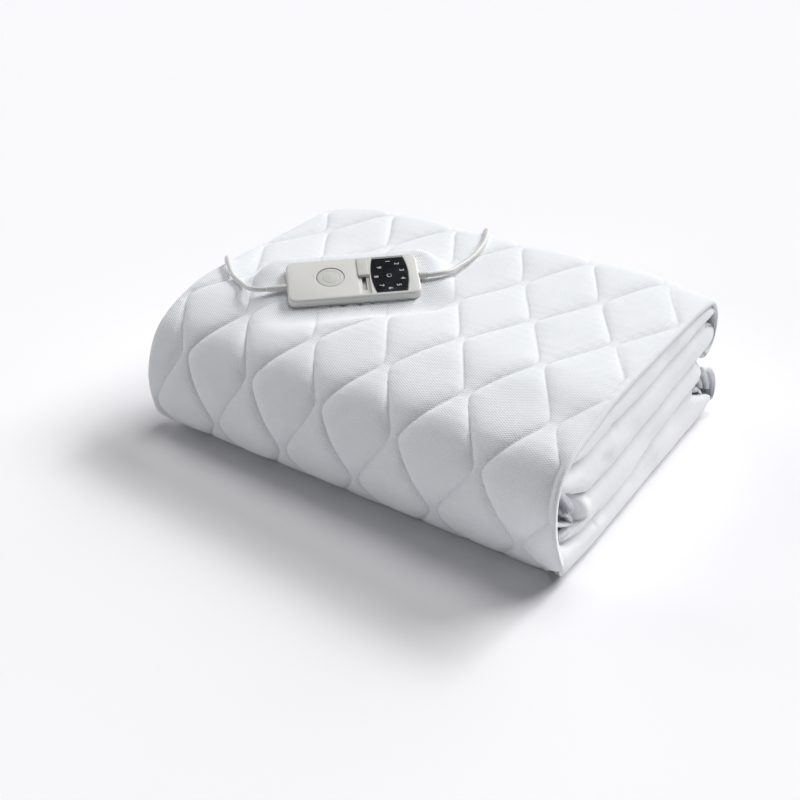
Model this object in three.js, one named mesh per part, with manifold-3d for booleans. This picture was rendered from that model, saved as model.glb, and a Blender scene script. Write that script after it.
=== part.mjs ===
// An electric underblanket, folded into a bundle, with its wired control lying on top.
// Millimetres, +Z up. The bundle lies on the floor at z = 0, its long folded front faces -Y,
// and the origin is under the middle of the bundle.
// One quilted sheet runs back and forth through sixteen layers: an outer wrap goes over the
// top, round the front and along the floor, and turns in at the back into an upper and a lower
// pack. A smooth skirt closes each end in four padded bands.

import * as THREE from "three";
import { mergeVertices } from "three/addons/utils/BufferGeometryUtils.js";
import Module from "manifold-3d";

const wasm = await Module();
wasm.setup();

// Driving sizes of the bundle
const WIDTH = 483;
const LEAN = -0.09;
const SHEET = 8.5;
const EDGE_SHEET = { thickness: 5.5, from: 18, to: 34 };
const INNER_LAYERS = 7;
const LAYER_FILL = 0.66;
const JOIN_GAP = 0.4;
// The floor sheet stops short of the ends, so that the skirts come down to the floor.
const FLOOR_INSET = { by: 17.2, from: 20, to: 42 };

// The quilting: pairs of lines that swing towards and away from each other
const LINE_PITCH = 44;
const LINE_SWING = 17.5;
const FIRST_LINE = -216;
const LINES = 11;
const HALF_WAVE = 70;
const FIRST_NECK = 57;
// The lines drift towards -x on their way back, less so on the left of the front.
const LINE_DRIFT = { each: 0.06, zero: 300, low: 40, from: 165, to: 460, left: 0.15 };
const QUILT_DEPTH = 4.5;
const FULL_PUFF = 45;
const STEPS_PER_HALF_WAVE = 5;
const LINE_MARGIN = 7;
const FLOOR_FADE = 40;

// The control and its leads
const CONTROL = { length: 133, width: 60, height: 14, corner: 9, edge: 2.5, split: 6 };
const CONTROL_TOP = new THREE.Vector3(-75.4, -37.6, 154.6);
const CONTROL_TURN = 44.5;
const CONTROL_TILT = 19;
const CONTROL_RISE = 2.2;
const SEAM_GAP = 0.3;
const OVERCUT = 1;
const BUTTON = { x: -22.6, y: 2.3, radius: 13.8, low: 10.5, high: 14.7, travel: 1.2, play: 0.5 };
const SLIDER = { x: 10.8, y: 13.2, width: 11.2, length: 25.6, low: 12.3, high: 15.2, travel: 26 };
const SLIDE_WAY = { from: -26.2, to: 26.4, floor: 12, play: 0.3, groove: 4.4, grooveFloor: 7.5, endPlay: 1 };
const STEM = { width: 3.6, length: 10, low: 7.9 };
const WINDOW = { x: 37, from: -26, to: 26.8, middle: 18.9, ends: 15.3, low: 11.3, high: 14.4, floor: 11 };
const RELIEF_LEFT = { length: 20, y: -4.3, z: 10.2, wide: 3.7, narrow: 2.9 };
const RELIEF_RIGHT = { length: 8, y: -1.5, z: 10.2, wide: 3.7, narrow: 3.2 };

// The leads: a mains lead to a coil and a plug, and a lead to the blanket's own connector
const CORD = { radius: 2.5, sides: 8, step: 14, gap: 0.4, straight: 3 };
const COIL = { x: -322, y: 104, inner: 22, outer: 33, low: 1.8, high: 23.4, sides: 40, meet: 35.3 };
const TIE = { sheet: 1.15, gap: 0.62, width: 7, turn: 215 };
const PLUG = { x: -289, y: 200.5, length: 38, width: 27, height: 14, corner: 6, edge: 2 };
const PIN = { radius: 2, length: 19, apart: 18.6 };
const CONNECTOR = { length: 40, width: 24, height: 11, corner: 5, edge: 2, entry: 14 };
const CONNECTOR_AT = { x: 112, y: 174, z: 62.7, slope: -26 };
const MAINS_ROUTE = [
  [-142.7, -104.4, 146],
  [-148.2, -106, 145.6],
  [-153.8, -105.5, 144.8],
  [-162.5, -101.8, 143.2],
  [-175.4, -93.8, 140.5],
  [-190, -87.5, 140],
  [-203, -80.5, 141],
  [-214, -72.5, 143.3],
  [-225, -63.5, 145],
  [-236, -54, 141.5],
  [-243, -47.5, 131],
  [-247.5, -42, 112],
  [-251, -36, 84],
  [-255, -27, 52],
  [-261, -14, 26],
  [-270, 4, 8],
  [-280, 27, 3.2],
  [-287, 48, 3.2],
  [-291.2, 68, 4.3],
];
const TAIL_ROUTE = [
  [-292.5, 123.5, 20],
  [-291, 140, 15],
  [-290, 158, 9],
  [-289, 172, 7.2],
];
const BLANKET_ROUTE = [
  [-10.8, 30, 153.4],
  [-10.3, 42, 152],
  [-12.4, 56, 151],
  [-13.2, 71, 151],
  [-15, 86, 151.6],
  [-18.5, 101, 152.4],
  [-23.5, 117, 153],
  [-31, 134, 153.2],
  [-41, 152, 152.5],
  [-53, 169, 148],
  [-64, 182, 138.5],
  [-72, 190, 124],
  [-78, 193, 106],
  [-83, 197, 80],
  [-88, 204, 50],
  [-90, 213, 24],
  [-84, 225, 9],
  [-66, 238, 3.6],
  [-38, 247, 3.2],
  [-5, 251, 3],
  [36, 249, 3.2],
  [70, 241, 6],
  [93, 231, 15],
  [106, 221, 28],
  [110.5, 212, 40],
];

// The wrap's outer face, from the notch at the back over the top, round the front and back
// along the floor. Each row: y and z at the right end, y and z at the left end.
const OUTLINE = [
  { at: "upper lobe, tucked end", yR: 146, zR: 81, yL: 142, zL: 75 },
  { at: "upper lobe, under", yR: 157, zR: 83, yL: 152, zL: 77 },
  { at: "upper lobe, low", yR: 170, zR: 91, yL: 166, zL: 84 },
  { at: "upper lobe, back", yR: 176, zR: 108, yL: 175, zL: 100 },
  { at: "upper lobe, high", yR: 173, zR: 126, yL: 172, zL: 122 },
  { at: "upper lobe, crown", yR: 159, zR: 143, yL: 154, zL: 138 },
  { at: "top, back", yR: 129, zR: 150, yL: 124, zL: 141 },
  { at: "top, behind the middle", yR: 54, zR: 150, yL: 54, zL: 140 },
  { at: "top, middle", yR: -36, zR: 148, yL: -36, zL: 139 },
  { at: "top, before the middle", yR: -91, zR: 145, yL: -96, zL: 136 },
  { at: "shoulder, start", yR: -131, zR: 137, yL: -131, zL: 128 },
  { at: "shoulder", yR: -166, zR: 130, yL: -158, zL: 116 },
  { at: "shoulder, edge", yR: -184, zR: 121, yL: -174, zL: 102 },
  { at: "front, high", yR: -195, zR: 107, yL: -184, zL: 84 },
  { at: "front, foremost", yR: -199, zR: 88, yL: -190, zL: 64 },
  { at: "front, middle", yR: -196, zR: 62, yL: -190, zL: 42 },
  { at: "front, low", yR: -188, zR: 40, yL: -187, zL: 25 },
  { at: "front, toe", yR: -177, zR: 19, yL: -182, zL: 12 },
  { at: "front, turn to the floor", yR: -162, zR: 4, yL: -171, zL: 3 },
  { at: "floor, front", yR: -146, zR: 0, yL: -152, zL: 0 },
  { at: "floor, middle", yR: -6, zR: 0, yL: -6, zL: 0 },
  { at: "floor, back", yR: 159, zR: 0, yL: 154, zL: 0 },
  { at: "lower lobe, heel", yR: 184, zR: 5, yL: 178, zL: 5 },
  { at: "lower lobe, low", yR: 197, zR: 18, yL: 190, zL: 18 },
  { at: "lower lobe, back", yR: 199, zR: 32, yL: 192, zL: 30 },
  { at: "lower lobe, high", yR: 190, zR: 50, yL: 184, zL: 46 },
  { at: "lower lobe, over", yR: 170, zR: 66, yL: 166, zL: 62 },
  { at: "lower lobe, tucked end", yR: 146, zR: 74, yL: 142, zL: 68 },
];
const FLOOR_START = 19;
const FLOOR_END = 21;

// Away from the ends, the back of the top is fuller and higher by these amounts.
const SWELL = { back: 12, up: 4, ends: 75, from: 40, to: 140, low: 95, high: 125 };

// Heights along the depth: the wrap's outer top, and the parting between the two packs
const LEVELS = [
  { y: -176, topR: 124, topL: 100, partR: 74, partL: 66 },
  { y: -156, topR: 132, topL: 117, partR: 70, partL: 67 },
  { y: -130, topR: 137.4, topL: 128, partR: 64, partL: 68 },
  { y: -91, topR: 145, topL: 136.6, partR: 66, partL: 69 },
  { y: -36, topR: 148, topL: 139, partR: 70, partL: 70 },
  { y: 54, topR: 150, topL: 140, partR: 76, partL: 71 },
  { y: 129, topR: 150, topL: 138.6, partR: 79, partL: 72 },
  { y: 150, topR: 146, topL: 135, partR: 81, partL: 73 },
];

// Where the folded layers end at the front and at the back, by height
const FOLD_ENDS = [
  { z: 0, front: -139, back: 152 },
  { z: 31, front: -141, back: 160 },
  { z: 50, front: -147, back: 150 },
  { z: 66, front: -151, back: 138 },
  { z: 84, front: -164, back: 140 },
  { z: 110, front: -170, back: 146 },
  { z: 150, front: -160, back: 134 },
];

// The skirt's tucks between its four bands, at the right end: heights by depth
const TUCKS_RIGHT = [
  { y: -158, one: 120, two: 76, three: 31 },
  { y: -129, one: 109, two: 64, three: 29 },
  { y: -83, one: 111, two: 64, three: 28 },
  { y: -24, one: 110, two: 70, three: 30 },
  { y: 27, one: 112, two: 72, three: 44 },
  { y: 82, one: 116, two: 79, three: 48 },
  { y: 145, one: 121, two: 84, three: 54 },
];
const TUCKS_LEFT = [
  { y: -158, one: 99, two: 68, three: 36 },
  { y: 0, one: 104, two: 70, three: 37 },
  { y: 145, one: 104, two: 72, three: 38 },
];
const SKIRT = { sheet: 2.5, tuck: 14, front: -158, back: 138, curl: 16, steps: 13, arc: 6 };
const SKIRT_LOW = { z: 0.8, ahead: 4.2 };
const SKIRT_SEAM = { right: 6.8, left: 6.1 };

const degrees = THREE.MathUtils.degToRad;
const clamp = THREE.MathUtils.clamp;
const smooth = (a, b, x) => THREE.MathUtils.smoothstep(x, a, b);
const mix = THREE.MathUtils.lerp;

// Reads one column of a table whose rows rise in the key column.
function table(rows, key, column, at) {
  if (at <= rows[0][key]) return rows[0][column];
  for (let i = 1; i < rows.length; i++) {
    const a = rows[i - 1];
    const b = rows[i];
    if (at <= b[key]) return mix(a[column], b[column], (at - a[key]) / (b[key] - a[key]));
  }
  return rows[rows.length - 1][column];
}

// 0 at the left end and 1 at the right end
const across = (x) => clamp(x / WIDTH + 0.5, 0, 1);

// Turns bundle coordinates (x square to the ends, y, z) into the part's frame: the ends lean.
const lean = (x, y, z) => new THREE.Vector3(x + LEAN * y, y, z);

// A closed mesh from merged vertices, as a solid that can be joined and cut.
function toSolid(geometry) {
  const bare = geometry.index ? geometry.toNonIndexed() : geometry.clone();
  bare.deleteAttribute("normal");
  bare.deleteAttribute("uv");
  const merged = mergeVertices(bare, 1e-4);
  return new wasm.Manifold(
    new wasm.Mesh({
      numProp: 3,
      vertProperties: merged.attributes.position.array,
      triVerts: new Uint32Array(merged.index.array),
    }),
  );
}

function toGeometry(solid) {
  const mesh = solid.getMesh();
  const geometry = new THREE.BufferGeometry();
  geometry.setAttribute("position", new THREE.BufferAttribute(mesh.vertProperties, 3));
  geometry.setIndex(new THREE.BufferAttribute(mesh.triVerts, 1));
  geometry.computeVertexNormals();
  return geometry;
}

function indexed(points, faces) {
  const geometry = new THREE.BufferGeometry();
  geometry.setAttribute("position", new THREE.Float32BufferAttribute(points.flatMap((p) => p.toArray()), 3));
  geometry.setIndex(faces);
  return geometry;
}

// A sheet between two faces. outer[i][j] is a full grid, and inner has only some of its rows i,
// those in innerRows. Both have all columns j. Faces look out where outer turns right-handed.
function sheetSolid(outer, inner, innerRows) {
  const m = outer[0].length;
  const points = [...outer.flat(), ...inner.flat()];
  const o = (i, j) => i * m + j;
  const n = (k, j) => outer.length * m + k * m + j;
  const faces = [];
  const quad = (a, b, c, d) => faces.push(a, b, c, a, c, d);
  for (let i = 0; i < outer.length - 1; i++) {
    for (let j = 0; j < m - 1; j++) quad(o(i, j), o(i + 1, j), o(i + 1, j + 1), o(i, j + 1));
  }
  for (let k = 0; k < inner.length - 1; k++) {
    for (let j = 0; j < m - 1; j++) quad(n(k, j), n(k, j + 1), n(k + 1, j + 1), n(k + 1, j));
    const first = innerRows[k];
    const last = innerRows[k + 1];
    faces.push(n(k, 0), n(k + 1, 0), o(first, 0));
    faces.push(n(k, m - 1), o(first, m - 1), n(k + 1, m - 1));
    for (let i = first; i < last; i++) {
      faces.push(o(i, 0), n(k + 1, 0), o(i + 1, 0));
      faces.push(o(i, m - 1), o(i + 1, m - 1), n(k + 1, m - 1));
    }
  }
  const lastRow = outer.length - 1;
  const lastInner = inner.length - 1;
  for (let j = 0; j < m - 1; j++) {
    quad(o(0, j), o(0, j + 1), n(0, j + 1), n(0, j));
    quad(o(lastRow, j), n(lastInner, j), n(lastInner, j + 1), o(lastRow, j + 1));
  }
  return indexed(points, faces);
}

// The wrap's outline as one smooth curve for each end, with lengths counted from the floor's
// front edge, upwards as positive.
function endCurve(y, z) {
  const curve = new THREE.CatmullRomCurve3(
    OUTLINE.map((row) => new THREE.Vector3(0, row[y], row[z])),
    false,
    "catmullrom",
    0.5,
  );
  const STEPS = 12;
  const rows = [];
  let length = 0;
  let before = null;
  for (let i = 0; i <= (OUTLINE.length - 1) * STEPS; i++) {
    const p = curve.getPoint(i / ((OUTLINE.length - 1) * STEPS));
    const row = i / STEPS;
    if (row >= FLOOR_START && row <= FLOOR_END) p.z = 0;
    p.z = Math.max(p.z, 0);
    if (before) length += p.distanceTo(before);
    rows.push({ s: length, y: p.y, z: p.z });
    before = p;
  }
  const zero = rows[FLOOR_START * STEPS].s;
  return rows.map((r) => ({ s: zero - r.s, y: r.y, z: r.z })).reverse();
}
const RIGHT_END = endCurve("yR", "zR");
const LEFT_END = stretched(endCurve("yL", "zL"), RIGHT_END);

// Gives a curve's lengths the same span as another's, on each side of zero.
function stretched(rows, like) {
  const back = like[0].s / rows[0].s;
  const front = like[like.length - 1].s / rows[rows.length - 1].s;
  return rows.map((r) => ({ ...r, s: r.s * (r.s < 0 ? back : front) }));
}

// How full the back of the top is at x: none at the ends, all of it in between.
const fullness = (x) => smooth(0, SWELL.ends, WIDTH / 2 - Math.abs(x));

function outline(x, s) {
  const t = across(x);
  const y = mix(table(LEFT_END, "s", "y", s), table(RIGHT_END, "s", "y", s), t);
  const z = mix(table(LEFT_END, "s", "z", s), table(RIGHT_END, "s", "z", s), t);
  const share = fullness(x) * smooth(SWELL.from, SWELL.to, y) * smooth(SWELL.low, SWELL.high, z);
  return { y: y + SWELL.back * share, z: z + SWELL.up * share };
}

// The outward direction of the wrap in its section, as (y, z).
function outward(x, s) {
  const NEAR = 3;
  const a = outline(x, s - NEAR);
  const b = outline(x, s + NEAR);
  const length = Math.hypot(b.y - a.y, b.z - a.z);
  return { y: -(b.z - a.z) / length, z: (b.y - a.y) / length };
}

// The control's own frame: origin at the middle of its underside, X along it, Z out of its face.
function controlFrame() {
  const turn = degrees(CONTROL_TURN);
  const tilt = degrees(CONTROL_TILT);
  const rise = degrees(CONTROL_RISE);
  const along = new THREE.Vector3(Math.cos(turn), Math.sin(turn), 0);
  const side = new THREE.Vector3(-Math.sin(turn), Math.cos(turn), 0);
  side.multiplyScalar(Math.cos(tilt)).add(new THREE.Vector3(0, 0, Math.sin(tilt)));
  const up = new THREE.Vector3().crossVectors(along, side).normalize();
  along.multiplyScalar(Math.cos(rise)).addScaledVector(up, Math.sin(rise)).normalize();
  up.crossVectors(along, side).normalize();
  const frame = new THREE.Matrix4().makeBasis(along, side, up);
  return frame.setPosition(CONTROL_TOP.clone().addScaledVector(up, -CONTROL.height));
}
const CONTROL_FRAME = controlFrame();
const CONTROL_BACK = CONTROL_FRAME.clone().invert();

// How much the cloth at (x, y) is shaped by the control lying on it, and the height it takes:
// it comes up to the seam between the control's shells.
function seat(x, y) {
  const FLAT = 11;
  const FADE = 36;
  const up = new THREE.Vector3().setFromMatrixColumn(CONTROL_FRAME, 2);
  const level = CONTROL.split - SEAM_GAP;
  const foot = new THREE.Vector3().setFromMatrixPosition(CONTROL_FRAME).addScaledVector(up, level);
  const z = foot.z - (up.x * (x - foot.x) + up.y * (y - foot.y)) / up.z;
  const local = new THREE.Vector3(x, y, z).applyMatrix4(CONTROL_BACK);
  const dx = Math.max(0, Math.abs(local.x) - CONTROL.length / 2);
  const dy = Math.max(0, Math.abs(local.y) - CONTROL.width / 2);
  const weight = 1 - smooth(FLAT, FLAT + FADE, Math.hypot(dx, dy));
  return { z, weight };
}

// The same at a place of the wrap: only its top is shaped by the control.
function seatAt(x, s) {
  const TOP = { above: 90, facing: 0.5 };
  const { y, z } = outline(x, s);
  const held = seat(x + LEAN * y, y);
  const top = z > TOP.above && outward(x, s).z > TOP.facing;
  return top ? held : { z, weight: 0 };
}

// Half the wrap's width at arc length s: the floor stops short of the ends.
function halfWidth(s) {
  const { by, from, to } = FLOOR_INSET;
  const floorEnd = floorBack();
  const before = 1 - smooth(from, to, s);
  const behind = smooth(floorEnd - to, floorEnd - from, s);
  return WIDTH / 2 - by * before * behind;
}

// A line's x at arc length s: straight runs with rounded turns.
function lineX(j, s) {
  const ROUND = 0.95;
  const wave = Math.asin(ROUND * Math.cos((Math.PI * (s - FIRST_NECK)) / HALF_WAVE)) / Math.asin(ROUND);
  const swing = j % 2 ? LINE_SWING : -LINE_SWING;
  const ahead = LINE_DRIFT.zero - clamp(s, LINE_DRIFT.from, LINE_DRIFT.to);
  const share = ahead > 0 ? LINE_DRIFT.left + ((1 - LINE_DRIFT.left) * j) / (LINES - 1) : 1;
  const drift = LINE_DRIFT.each * ahead * share * smooth(LINE_DRIFT.low, LINE_DRIFT.from, s);
  const most = halfWidth(s) - LINE_MARGIN;
  return clamp(FIRST_LINE + LINE_PITCH * j + swing * wave + drift, -most, most);
}

// The wrap's columns at arc length s: each line, two places between lines, and the ends.
function columns(s) {
  const PLACES = [0.3, 0.7];
  const EDGE_PLACE = [0.5];
  const EDGE_SUNK = 0.6;
  const EDGE_RISE = 0.8;
  const ROUNDNESS = 0.8;
  const edge = halfWidth(s);
  const out = [{ x: -edge, sunk: EDGE_SUNK }];
  const addBetween = (a, b, places, share) => {
    const rise = Math.min(1, (b - a) / FULL_PUFF) ** ROUNDNESS;
    places.forEach((f) => out.push({ x: mix(a, b, f), sunk: 1 - rise * share }));
  };
  addBetween(-edge, lineX(0, s), EDGE_PLACE, EDGE_RISE);
  for (let j = 0; j < LINES; j++) {
    out.push({ x: lineX(j, s), sunk: 1 });
    if (j < LINES - 1) addBetween(lineX(j, s), lineX(j + 1, s), PLACES, 1);
  }
  addBetween(lineX(LINES - 1, s), edge, EDGE_PLACE, EDGE_RISE);
  out.push({ x: edge, sunk: EDGE_SUNK });
  return out;
}

// Where the wrap leaves the floor at the back, as arc length
const floorBack = () => RIGHT_END.find((row) => row.z === 0).s;

// The wrap's stations: evenly along the quilting's wave, and sparser along the floor.
function stations() {
  const step = HALF_WAVE / STEPS_PER_HALF_WAVE;
  const end = RIGHT_END[RIGHT_END.length - 1].s;
  const start = RIGHT_END[0].s;
  const floorEnd = floorBack();
  const out = [];
  const LOBE_STEPS = 8;
  for (let i = 0; i <= LOBE_STEPS; i++) out.push(mix(start, floorEnd, i / LOBE_STEPS));
  const FLOOR_STEPS = 4;
  for (let i = 1; i < FLOOR_STEPS; i++) out.push(mix(floorEnd, 0, i / FLOOR_STEPS));
  const FIRST_STATION = 9;
  for (let s = FIRST_STATION; s < end - step / 2; s += step) out.push(s);
  out.push(end);
  return out;
}

// One point of the wrap, set in from its outline by a depth.
function wrapPoint(x, s, depth) {
  const p = outline(x, s);
  const n = outward(x, s);
  const held = seatAt(x, s);
  const z = mix(p.z, held.z, held.weight);
  return lean(x, p.y - n.y * depth, z - n.z * depth);
}

function wrap() {
  const INNER_ROWS = [0, 1, 2, 6, 12, 17, 22, 28, 32, 33, 34];
  const inward = (x, s) => smooth(EDGE_SHEET.from, EDGE_SHEET.to, halfWidth(s) - Math.abs(x));
  const thickness = (x, s) => mix(EDGE_SHEET.thickness, SHEET, inward(x, s));
  const floorEnd = floorBack();
  const rows = stations().map((s) => {
    const quilted = s > 0 ? smooth(0, FLOOR_FADE, s) : 1 - smooth(floorEnd - FLOOR_FADE, floorEnd, s);
    return columns(s).map((c) => {
      const calm = 1 - seatAt(c.x, s).weight;
      return { outer: wrapPoint(c.x, s, QUILT_DEPTH * c.sunk * quilted * calm), x: c.x };
    });
  });
  const count = rows[0].length;
  const outer = [];
  for (let i = 0; i < count; i++) outer.push(rows.map((row) => row[i].outer));
  const inner = INNER_ROWS.map((i) =>
    stations().map((s, j) => wrapPoint(rows[j][i].x, s, thickness(rows[j][i].x, s))),
  );
  return toSolid(sheetSolid(outer, inner, INNER_ROWS));
}

// The layers inside one pack as a closed outline in (y, level): level 0 is the pack's lowest
// layer and counts upwards. They run back and forth, and the layer at the parting goes on to
// the back, where it meets the wrap's tucked end.
function packOutline() {
  const RUN = 5;
  const TURN = 4;
  const BULGE = 0.035;
  const BACK_PAST = 1.05;
  const half = LAYER_FILL / 2;
  const wide = 0.5 + half;
  const tight = 0.5 - half;
  const left = [];
  const right = [];
  for (let k = 0; k < INNER_LAYERS; k++) {
    const forward = k % 2 === 0;
    const to = forward ? 0 : 1;
    const start = k === 0 ? BACK_PAST : 1 - to;
    const below = forward ? half : -half;
    for (let i = 0; i <= RUN; i++) {
      const f = mix(start, to, i / RUN);
      left.push({ f, v: k - below });
      right.push({ f, v: k + below });
    }
    if (k === INNER_LAYERS - 1) break;
    const side = forward ? -1 : 1;
    for (let i = 1; i < TURN; i++) {
      const a = Math.PI * (i / TURN - 0.5);
      const bend = (r) => ({ f: to + side * BULGE * r * Math.cos(a), v: k + 0.5 + r * Math.sin(a) });
      left.push(bend(forward ? wide : tight));
      right.push(bend(forward ? tight : wide));
    }
  }
  const ring = [...left, ...right.reverse()];
  return THREE.ShapeUtils.isClockWise(ring.map((p) => new THREE.Vector2(p.f, p.v))) ? ring.reverse() : ring;
}

// A pack's place for (f, level) at x: f runs from the front (0) to the back (1) fold ends.
function packPoint(x, f, v, upper) {
  const t = across(x);
  const read = (column, y) => table(LEVELS, "y", column, y);
  const level = (y, column) => mix(read(column + "L", y), read(column + "R", y), t);
  const SETTLE = 3;
  const PART = 2.6;
  const CLEAR = 1.6;
  const MIDDLE = { upper: 110, lower: 40 };
  let y = 0;
  let z = upper ? MIDDLE.upper : MIDDLE.lower;
  for (let i = 0; i < SETTLE; i++) {
    y = mix(table(FOLD_ENDS, "z", "front", z), table(FOLD_ENDS, "z", "back", z), f);
    const part = level(y, "part");
    const low = upper ? part + PART : SHEET + CLEAR;
    const high = upper ? level(y, "top") - SHEET - CLEAR : part;
    const share = (v + LAYER_FILL / 2) / (INNER_LAYERS - 1 + LAYER_FILL);
    z = upper ? mix(low, high, share) : mix(high, low, share);
  }
  return lean(x, y, z);
}

function pack(upper) {
  const END_IN = 26;
  const EDGES = [-WIDTH / 2 + END_IN, 0, WIDTH / 2 - END_IN];
  const RUN_TO_RISE = 30;
  const ring = packOutline();
  const flat = ring.map((p) => new THREE.Vector2(p.f * RUN_TO_RISE, p.v));
  const caps = THREE.ShapeUtils.triangulateShape(flat, []);
  const n = ring.length;
  const points = EDGES.flatMap((x) => ring.map((p) => packPoint(x, p.f, p.v, upper)));
  const faces = [];
  const last = (EDGES.length - 1) * n;
  caps.forEach(([a, b, c]) => {
    faces.push(a, b, c);
    faces.push(last + a, last + c, last + b);
  });
  for (let k = 0; k < EDGES.length - 1; k++) {
    for (let i = 0; i < n; i++) {
      const a = k * n + i;
      const b = k * n + ((i + 1) % n);
      faces.push(a, a + n, b + n, a, b + n, b);
    }
  }
  return toSolid(facingOut(indexed(points, faces)));
}

// Turns a closed geometry's faces round if they look in.
function facingOut(geometry) {
  const p = geometry.attributes.position;
  const index = geometry.index.array;
  const [a, b, c] = [new THREE.Vector3(), new THREE.Vector3(), new THREE.Vector3()];
  let volume = 0;
  for (let i = 0; i < index.length; i += 3) {
    a.fromBufferAttribute(p, index[i]);
    b.fromBufferAttribute(p, index[i + 1]);
    c.fromBufferAttribute(p, index[i + 2]);
    volume += a.dot(b.cross(c));
  }
  if (volume < 0) {
    for (let i = 0; i < index.length; i += 3) [index[i + 1], index[i + 2]] = [index[i + 2], index[i + 1]];
  }
  return geometry;
}

// The hollow that the control's lower shell presses into the cloth, as a block to cut away
function imprint() {
  const grown = (size) => size + 2 * JOIN_GAP;
  const block = roundedBlock({
    length: grown(CONTROL.length),
    width: grown(CONTROL.width),
    height: CONTROL.height + JOIN_GAP,
    corner: CONTROL.corner + JOIN_GAP,
    edge: CONTROL.edge + JOIN_GAP,
  });
  return toSolid(block.translate(0, 0, -JOIN_GAP).applyMatrix4(CONTROL_FRAME));
}

function quiltedPanel() {
  return toGeometry(wrap().add(pack(true)).add(pack(false)).subtract(imprint()));
}

// One end's skirt: four padded bands with tucks between them, between the wrap's top and
// bottom sheets. side is 1 at the right end and -1 at the left.
function skirt(side, tucks) {
  const BANDS = 4;
  const FULLNESS = 0.75;
  const FLATTER = 0.8;
  const end = WIDTH / 2;
  const outer = [];
  const inner = [];
  for (let i = 0; i <= SKIRT.steps; i++) {
    const y = mix(SKIRT.front, SKIRT.back, i / SKIRT.steps);
    const high = side > 0
      ? table(LEVELS, "y", "topR", y) - SKIRT_SEAM.right
      : table(LEVELS, "y", "topL", y) - SKIRT_SEAM.left;
    const marks = [high, ...["one", "two", "three"].map((k) => table(tucks, "y", k, y)), SKIRT_LOW.z];
    const closeness = Math.min(y - SKIRT.front, SKIRT.back - y) / SKIRT.curl;
    const round = 1 - Math.sqrt(Math.max(0, 1 - (1 - clamp(closeness, 0, 1)) ** 2));
    const line = [];
    const toe = SKIRT_LOW.ahead * (1 - i / SKIRT.steps);
    for (let b = 0; b < BANDS; b++) {
      const ahead = b === BANDS - 1 ? toe : 0;
      const middle = (marks[b] + marks[b + 1]) / 2;
      const half = (marks[b] - marks[b + 1]) / 2;
      for (let k = b === 0 ? 0 : 1; k <= SKIRT.arc; k++) {
        const a = Math.PI * (0.5 - k / SKIRT.arc);
        const depth = SKIRT.tuck * (1 - Math.cos(a) ** FULLNESS * (1 - FLATTER * round));
        line.push({ x: end - depth, y: y - ahead, z: middle + half * Math.sin(a) });
      }
    }
    outer.push(line.map((p) => lean(side * p.x, p.y, p.z)));
    inner.push(
      line.map((p, k) => {
        const a = line[Math.max(0, k - 1)];
        const b = line[Math.min(line.length - 1, k + 1)];
        const length = Math.hypot(b.x - a.x, b.z - a.z);
        const inX = (b.z - a.z) / length;
        const inZ = -(b.x - a.x) / length;
        return lean(side * (p.x + inX * SKIRT.sheet), p.y, p.z + inZ * SKIRT.sheet);
      }),
    );
  }
  const all = outer.map((_, i) => i);
  return facingOut(sheetSolid(outer, inner, all));
}

// A closed tube along a route, with its ends square.
function tube(points) {
  const curve = new THREE.CatmullRomCurve3(points, false, "centripetal");
  const section = new THREE.Shape();
  const corner = (i) => (2 * Math.PI * (i + 0.5)) / CORD.sides;
  section.moveTo(CORD.radius * Math.cos(corner(0)), CORD.radius * Math.sin(corner(0)));
  for (let i = 1; i < CORD.sides; i++) {
    section.lineTo(CORD.radius * Math.cos(corner(i)), CORD.radius * Math.sin(corner(i)));
  }
  const steps = Math.round(curve.getLength() / CORD.step);
  return new THREE.ExtrudeGeometry(section, { steps, bevelEnabled: false, extrudePath: curve });
}

const routePoints = (rows) => rows.map((row) => new THREE.Vector3(...row));

// A point in front of a strain relief, at a distance from the control's end.
function reliefPoint(side, size, distance) {
  const x = side * (CONTROL.length / 2 + SEAM_GAP + size.length + distance);
  return new THREE.Vector3(x, size.y, size.z).applyMatrix4(CONTROL_FRAME);
}

function mainsCord() {
  const start = [CORD.gap, CORD.straight].map((d) => reliefPoint(-1, RELIEF_LEFT, d));
  const lane = COIL.outer - CORD.radius;
  const merge = Math.sqrt(COIL.meet ** 2 - lane ** 2);
  const end = new THREE.Vector3(COIL.x + lane, COIL.y - merge, COIL.low + CORD.radius);
  return tube([...start, ...routePoints(MAINS_ROUTE), end]);
}

function mainsTail() {
  const end = new THREE.Vector3(PLUG.x, PLUG.y - PLUG.length / 2 - CORD.gap, PLUG.height / 2);
  return tube([...routePoints(TAIL_ROUTE), end]);
}

// The connector's own frame: it lies on the lower lobe's slope, and the lead enters at its edge.
function connectorFrame() {
  const frame = new THREE.Matrix4().makeRotationX(degrees(CONNECTOR_AT.slope));
  return frame.setPosition(CONNECTOR_AT.x, CONNECTOR_AT.y, CONNECTOR_AT.z);
}

function blanketCord() {
  const start = [CORD.gap, CORD.straight].map((d) => reliefPoint(1, RELIEF_RIGHT, d));
  const entry = [CONNECTOR.entry, CORD.gap].map((d) =>
    new THREE.Vector3(0, CONNECTOR.width / 2 + d, CONNECTOR.height / 2).applyMatrix4(connectorFrame()),
  );
  return tube([...start, ...routePoints(BLANKET_ROUTE), ...entry]);
}

// The coil's outer shape: eight turns of the lead lie in it, two across and four high.
function coil() {
  const profile = [
    [COIL.inner, COIL.low],
    [COIL.outer, COIL.low],
    [COIL.outer, COIL.high],
    [COIL.inner, COIL.high],
    [COIL.inner, COIL.low],
  ].map(([r, z]) => new THREE.Vector2(r, z));
  const geometry = new THREE.LatheGeometry(profile, COIL.sides);
  return geometry.rotateX(Math.PI / 2).translate(COIL.x, COIL.y, 0);
}

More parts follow.
